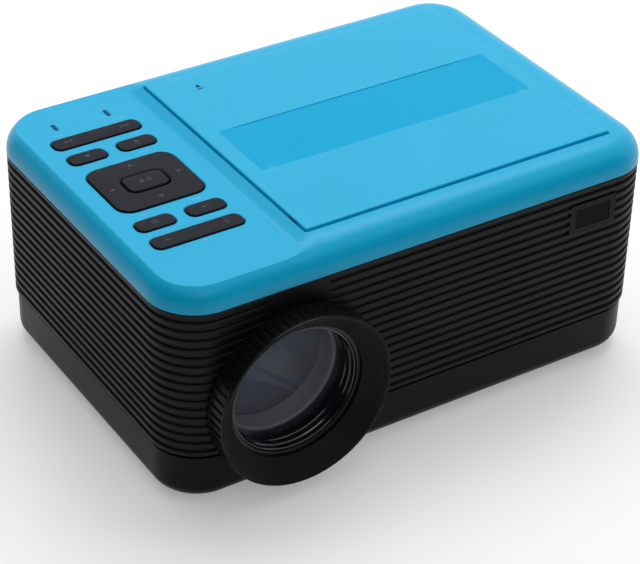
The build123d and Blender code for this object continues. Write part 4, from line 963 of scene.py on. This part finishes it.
# ------------------------------------------------------------------ control pad
@dataclass
class KeyPad:
    """Dark rubber keys with moulded symbols, and the pale prints beside them."""

    x: float = -86.4
    middle: float = 6.0
    top: float = 108.2
    under: float = 105.0
    corner: float = 3.2
    flange: float = 1.0
    flange_height: float = 1.4
    edge: float = 0.55

    def key(self, name: str, slack: float, symbols: Callable[[Marks, float, float], list[Shell]]) -> None:
        """One key: flange, upright wall, quarter-round edge and a faintly crowned top, with pins if it tilts."""
        row, column, width, depth = KEYS[name]
        x, y = centre = (self.x + column, self.middle + row)
        outline = lambda grow: rounded_outline(width + 2 * grow, depth + 2 * grow, self.corner + grow, centre, 10)
        low = self.under - slack - self.flange_height
        section = [(self.flange, low), (self.flange, low + self.flange_height), (0.0, low + self.flange_height)]
        section += [(o, self.top - 0.12 + z) for o, z in quarter(self.edge)]
        section += [(-1.4, self.top - 0.05), (-2.4, self.top)]
        parts = [stacked(outline, section, caps=(True, True))]
        if column == 0:
            end = PIVOT[0] + 0.7
            parts.append(lathe([(0.0, y + end), (0.6, y + end), (0.6, y - end), (0.0, y - end)], (x, PIVOT[1]), 24))
        piece(f"{name}_cap", parts, Look.KEY, name, [name], 40.0, [(Look.PRINT, symbols(Marks(self.top), x, y))])

    def build(self) -> None:
        """Make all keys."""
        self.key("upper_rocker", 0.6, lambda sign, x, y: [
            sign.arrow(x + s * place, y, 1.3, 90 - s * 90) for s in (-1, 1) for place in (12.4, 14.6)])
        self.key("lower_rocker", 0.6, lambda sign, x, y: [
            sign.bar(x - 13.5, y, 3.0, 0.6), sign.bar(x + 13.5, y, 3.0, 0.6), sign.bar(x + 13.5, y, 0.6, 3.0)])
        self.key("rear_left_key", 0.3, lambda sign, x, y: [sign.bar(x, y, 2.0, 2.0)])
        self.key("rear_right_key", 0.3, lambda sign, x, y: [sign.arrow(x, y + 0.4, 1.4, 90), sign.bar(x, y - 1.4, 2.6, 0.5)])
        self.key("front_left_key", 0.3, lambda sign, x, y: [sign.bar(x, y + s, 2.8, 0.5) for s in (-1.0, 0.0, 1.0)])
        self.key("front_right_key", 0.3, lambda sign, x, y: [sign.arrow(x - 1.0, y, 1.2, 180), sign.bar(x + 0.8, y, 2.4, 0.5)])
        self.nav(Marks(self.top))
        self.prints()

    def nav(self, sign: Marks) -> None:
        """Direction pad with a round-cornered hole, and its centre key on the same middle."""
        y = self.middle + NAV_ROW
        low = 102.6
        ring = lambda w, d, r: rounded_outline(w, d, r, (self.x, y), 10)
        outer = lambda grow: ring(NAV[0] + 2 * grow, NAV[1] + 2 * grow, NAV[2] + grow)
        hole = lambda grow: ring(19.7 + 2 * grow, 13.2 + 2 * grow, 4.1 + grow)
        rows = [(outer(1.0), low), (outer(1.0), low + 1.0), (outer(0.0), low + 1.0)]
        rows += [(outer(o), self.top + z) for o, z in quarter(0.6)]
        rows += [(hole(grow), self.top - drop) for grow, drop in (
            (2.8, 0.08), (1.4, 0.02), (0.7, 0.1), (0.2, 0.45), (0.0, 0.9))]
        rows.append((hole(0.0), low))
        stack = np.stack([np.column_stack([plan, np.full(len(plan), z)]) for plan, z in rows])
        arrows = [sign.arrow(self.x, y + 13.6, 1.5, 90), sign.arrow(self.x, y - 13.6, 1.5, -90),
                  sign.arrow(self.x - 15.6, y, 1.5, 180), sign.arrow(self.x + 15.6, y, 1.5, 0)]
        lugs = [block((self.x - 2, y + s * 17.45 - 0.8, 99.2), (self.x + 2, y + s * 17.45 + 0.8, low)) for s in (-1, 1)]
        piece("nav_pad_cap", [loft(stack, closed=True), *lugs], Look.KEY, "nav_pad", ["nav_pad"], 40.0,
              [(Look.PRINT, arrows)])
        body = lambda grow: ring(18.5 + 2 * grow, 12 + 2 * grow, 3.5 + grow)
        section = [(1.5, 100.8), (1.5, 101.8), (0.0, 101.8)]
        section += [(o, self.top + 0.2 + z) for o, z in quarter(0.7)]
        section += [(-2.4, self.top + 0.3)]
        above = Marks(self.top + 0.3)
        play = [above.arrow(self.x - 1.6, y, 1.6, 0), above.bar(self.x + 1.2, y, 0.6, 2.6), above.bar(self.x + 2.4, y, 0.6, 2.6)]
        piece("center_key_cap", [stacked(body, section, caps=(True, True))], Look.KEY, "center_key",
              ["center_key"], 40.0, [(Look.PRINT, play)])

    def prints(self) -> None:
        """Pale generic symbols printed beside the keys."""
        sign = Marks(107.5, 0.03)
        m, x = self.middle, self.x
        marks = [sign.bar(x + s, m + 53.0, 1.6, 0.35) for s in (-15.5, 13.0, 15.5)]
        marks += [sign.bar(x + s, m + row, 4.2, 0.35) for row in (23.4, -20.3) for s in (-12.0, 11.5)]
        marks += [sign.arrow(x - 13.0, m + 53.0, 0.7, 0), sign.bar(x, m - 48.6, 5.0, 0.35)]
        piece("pad_prints", marks, Look.MARK)


# ------------------------------------------------------------------ lens
@dataclass
class ProjectionLens:
    """Focus ring with teeth and grooved face, glossy barrel, front glass and spacer."""

    axis: tuple[float, float] = (-65.3, 47.3)
    ring_radius: float = 40.2
    front: float = -88.0
    back: float = -76.3
    inner: float = 31.05
    lip: float = 31.0
    teeth: int = 66
    tooth: float = 0.7
    bore: float = 28.5
    barrel: float = 29.6

    def ring(self) -> tuple[Shell, Shell]:
        """Outer band r = R - depth * tooth(a) * band(y); the cone face is a second shell on the same edge."""
        f, b, r = self.front, self.back, self.ring_radius
        marks = np.array([0.0, 0.26, 0.52, 0.58, 0.77, 0.94])
        turn = ((np.arange(self.teeth)[:, None] + marks[None, :]) * 2 * np.pi / self.teeth).ravel()
        cut = np.tile([0.0, 0.0, 0.0, 1.0, 1.0, 1.0], self.teeth)[None, :]
        section = np.array([
            (self.inner, b, 0), (r - 0.4, b, 0), (r, b - 0.4, 0), (r, b - 1.1, 0), (r, b - 1.2, 1), (r, b - 5.5, 1),
            (r, f + 1.5, 1), (r, f + 1.4, 0), (r, f + 0.35, 0), (r - 0.12, f + 0.1, 0), (r - 0.35, f, 0),
            (r - 1.0, f, 0), (r - 1.25, f + 0.12, 0)])
        radius = section[:, :1] - self.tooth * section[:, 2:] * cut
        y = section[:, 1:2] + 0 * cut
        outer = np.stack([self.axis[0] + radius * np.cos(turn), y, self.axis[1] + radius * np.sin(turn)], -1)
        face = [(r - 1.25, f + 0.12), (r - 1.9, f + 0.75), (r - 5.0, f + 3.9), (self.lip + 0.7, f + 7.35),
                (self.lip + 0.15, f + 7.7), (self.lip, f + 8.0), (self.lip, f + 9.2), (self.inner, f + 9.2),
                (self.inner, b)]
        inside = np.array(face)
        rr, yy = inside[:, :1], inside[:, 1:] + 0 * turn[None, :]
        inner = np.stack([self.axis[0] + rr * np.cos(turn), yy, self.axis[1] + rr * np.sin(turn)], -1)
        return loft(outer), loft(inner)

    def build(self) -> None:
        """Make the turned pieces."""
        outer, cone = self.ring()
        piece("focus_ring_body", [outer], Look.RING, "focus_ring", ["focus_ring"], 28.0,
              [(Look.CONE, [cone])])
        f = self.front
        tube = [(24.0, -40.0), (self.barrel, -40.0), (self.barrel, f + 10.5), (self.barrel - 0.2, f + 10.15),
                (self.barrel - 0.5, f + 10.0), (self.bore + 0.25, f + 10.0), (self.bore, f + 10.3), (self.bore, f + 12.6),
                (self.bore - 0.4, f + 13.0), (self.bore - 0.4, f + 15.6), (self.bore - 0.7, f + 16.0),
                (self.bore - 0.7, f + 18.8), (self.bore - 0.05, f + 19.4), (self.bore, f + 24.0), (self.bore, -49.0),
                (24.0, -49.0)]
        piece("lens_barrel_body", [lathe(tube, self.axis, 128, closed=True)], Look.BARREL, "lens_barrel",
              ["lens_barrel"], 30.0)
        edge, crown = self.bore - 0.05, 4.5
        sphere = (edge**2 + crown**2) / (2 * crown)
        radii = edge * np.sin(np.linspace(0, np.pi / 2, 20))
        cap = [(float(r), f + 20 - crown + sphere - math.sqrt(sphere**2 - r**2)) for r in radii]
        glass = [(0.0, f + 24.0), (edge, f + 24.0), *cap[::-1]]
        piece("front_glass", [lathe(glass, self.axis, 96)], Look.LENS, "lens_barrel", ["front_lens"], 30.0)
        wall = self.bore - 1.5
        spacer = [(wall, -54.0), (edge, -54.0), (edge, -63.95), (wall + 0.5, -63.95), (wall, -63.4)]
        piece("spacer_body", [lathe(spacer, self.axis, 96, closed=True)], Look.SPACER, "lens_barrel",
              ["spacer_ring"], 30.0)
        refined("rear_lens", Look.ELEMENT, "lens_barrel")


# ------------------------------------------------------------------ remaining solids
@dataclass
class Fittings:
    """Solids of the model that keep their own mesh and take a finish by their material slot."""

    def build(self) -> None:
        """Dress every solid that no piece stands for."""
        slots = {part["node"]: part.get("material_slot", "") for part in frame["record"]["subparts"]}
        for name, node in frame["nodes"].items():
            if node.hide_render:
                continue
            look = SLOT_LOOKS[slots[name]]
            material = look.value.material()
            if not node.material_slots:
                node.data.materials.append(material)
            for slot in node.material_slots:
                slot.material = material
            LOG.info("%s: %s", name, look.name)


# ------------------------------------------------------------------ studio
@dataclass
class Studio:
    """Floor, dark cards, lamps, sky and the photograph's camera."""

    level: float = 0.56
    camera_at: tuple[float, float, float] = (-0.4471, -0.6806, 0.5891)
    yaw: float = -33.07
    rise: float = 34.4
    roll: float = 1.43
    lens: float = 123.75
    glow: float = 0.30

    def ray(self, graph: Graph) -> Signal:
        """1 for camera, glossy and transmission rays."""
        path = graph.node("ShaderNodeLightPath").socket.node
        seen = [Signal(graph, path.outputs[name]) for name in ("Is Camera Ray", "Is Glossy Ray", "Is Transmission Ray")]
        return (seen[0] + seen[1] + seen[2]).clamp()

    def floor(self) -> None:
        """Large pale floor that keeps the shadow, with a faint glow where it is looked at."""
        mesh = bpy.data.meshes.new("studio_floor")
        mesh.from_pydata([(-6, -6, 0), (6, -6, 0), (6, 6, 0), (-6, 6, 0)], [], [(0, 1, 2, 3)])
        made = bpy.data.objects.new("studio_floor", mesh)
        bpy.context.scene.collection.objects.link(made)
        paint = bpy.data.materials.new("studio_floor")
        paint.use_nodes = True
        graph = Graph(paint.node_tree)
        where = graph.place()
        tint = graph.mix(graph.noise(where, 2.0, 2.0), (0.80, 0.80, 0.80), (0.82, 0.82, 0.82))
        plain = graph.node("ShaderNodeBsdfPrincipled", sockets={"Base Color": tint, "Roughness": 0.5,
                                                                "Specular IOR Level": 0.2})
        glow = graph.node("ShaderNodeEmission", sockets={"Strength": self.ray(graph) * self.glow})
        both = graph.node("ShaderNodeAddShader", sockets={0: plain, 1: glow})
        graph.node("ShaderNodeOutputMaterial", sockets={"Surface": both})
        mesh.materials.append(paint)

    def card(self, name: str, corners: Sequence[tuple[float, float, float]]) -> None:
        """Dark card outside the view that keeps the near faces from going pale."""
        mesh = bpy.data.meshes.new(name)
        mesh.from_pydata(list(corners), [], [(0, 1, 2, 3)])
        made = bpy.data.objects.new(name, mesh)
        bpy.context.scene.collection.objects.link(made)
        made.visible_camera = False
        paint = bpy.data.materials.new(name)
        paint.use_nodes = True
        graph = Graph(paint.node_tree)
        tint = graph.mix(graph.noise(graph.place(), 3.0), (0.02, 0.02, 0.02), (0.03, 0.03, 0.03))
        plain = graph.node("ShaderNodeBsdfPrincipled", sockets={"Base Color": tint, "Roughness": 0.9})
        graph.node("ShaderNodeOutputMaterial", sockets={"Surface": plain})
        mesh.materials.append(paint)

    def lamp(self, name: str, place: Sequence[float], target: Sequence[float], size: tuple[float, float],
             power: float) -> None:
        """Rectangular softbox that looks at a target."""
        data = bpy.data.lights.new(name, "AREA")
        data.shape, data.size, data.size_y, data.energy = "RECTANGLE", size[0], size[1], power
        made = bpy.data.objects.new(name, data)
        bpy.context.scene.collection.objects.link(made)
        back = np.asarray(place, float) - np.asarray(target, float)
        back /= np.linalg.norm(back)
        side = np.cross((0.0, 0.0, 1.0), back) if abs(back[2]) < 0.99 else np.array([1.0, 0.0, 0.0])
        side /= np.linalg.norm(side)
        turn = np.eye(4)
        turn[:3, 0], turn[:3, 1], turn[:3, 2], turn[:3, 3] = side, np.cross(back, side), back, place
        made.matrix_world = Matrix(turn.tolist())

    def sky(self) -> None:
        """Even sky: strength 1 where it is looked at or mirrored, the light level elsewhere."""
        world = bpy.data.worlds.new("studio_sky")
        world.use_nodes = True
        graph = Graph(world.node_tree)
        seen = self.ray(graph)
        sky = graph.node("ShaderNodeBackground", sockets={
            "Color": (1.0, 1.0, 1.0, 1.0), "Strength": seen * (1.0 - self.level) + self.level})
        graph.node("ShaderNodeOutputWorld", sockets={"Surface": sky})
        bpy.context.scene.world = world

    def camera(self) -> None:
        """Camera at the photograph's place: back vector from yaw and rise, then rolled about it."""
        a, e, t = (math.radians(v) for v in (self.yaw, self.rise, self.roll))
        back = np.array([math.sin(a) * math.cos(e), -math.cos(a) * math.cos(e), math.sin(e)])
        right = np.array([math.cos(a), math.sin(a), 0.0])
        up = np.cross(back, right)
        turn = np.eye(4)
        turn[:3, 0] = math.cos(t) * right + math.sin(t) * up
        turn[:3, 1] = -math.sin(t) * right + math.cos(t) * up
        turn[:3, 2], turn[:3, 3] = back, self.camera_at
        data = bpy.data.cameras.new("photo_camera")
        data.sensor_fit, data.sensor_width, data.lens = "HORIZONTAL", 36.0, self.lens
        data.clip_start, data.clip_end = 0.02, 60.0
        made = bpy.data.objects.new("photo_camera", data)
        bpy.context.scene.collection.objects.link(made)
        made.matrix_world = Matrix(turn.tolist())
        bpy.context.scene.camera = made

    def build(self) -> None:
        """Set up the studio."""
        bpy.context.scene.view_settings.view_transform = "Standard"
        self.camera()
        self.sky()
        self.floor()
        self.card("front_card", [(-2.5, -1.7, 0.05), (2.5, -1.7, 0.05), (2.5, -1.7, 1.6), (-2.5, -1.7, 1.6)])
        self.card("left_card", [(-1.7, 2.5, 0.05), (-1.7, -1.7, 0.05), (-1.7, -1.7, 1.6), (-1.7, 2.5, 1.6)])
        self.lamp("overhead_softbox", (0.35, 0.45, 1.35), (0.0, 0.0, 0.08), (1.3, 1.0), 11.0)
        self.lamp("front_strip", (-0.1, -1.1, 0.9), (0.0, 0.0, 0.06), (0.9, 0.25), 1.4)


def main() -> None:
    """Build the studio and the assemblies in order."""
    logging.basicConfig(level=logging.INFO, format="%(message)s")
    Studio().build()
    for assembly in (Casing(), TopCover(), DiscLid(), KeyPad(), ProjectionLens(), Fittings()):
        LOG.info("building %s", type(assembly).__name__)
        assembly.build()
    bpy.context.view_layer.update()


if __name__ == "__main__":
    main()
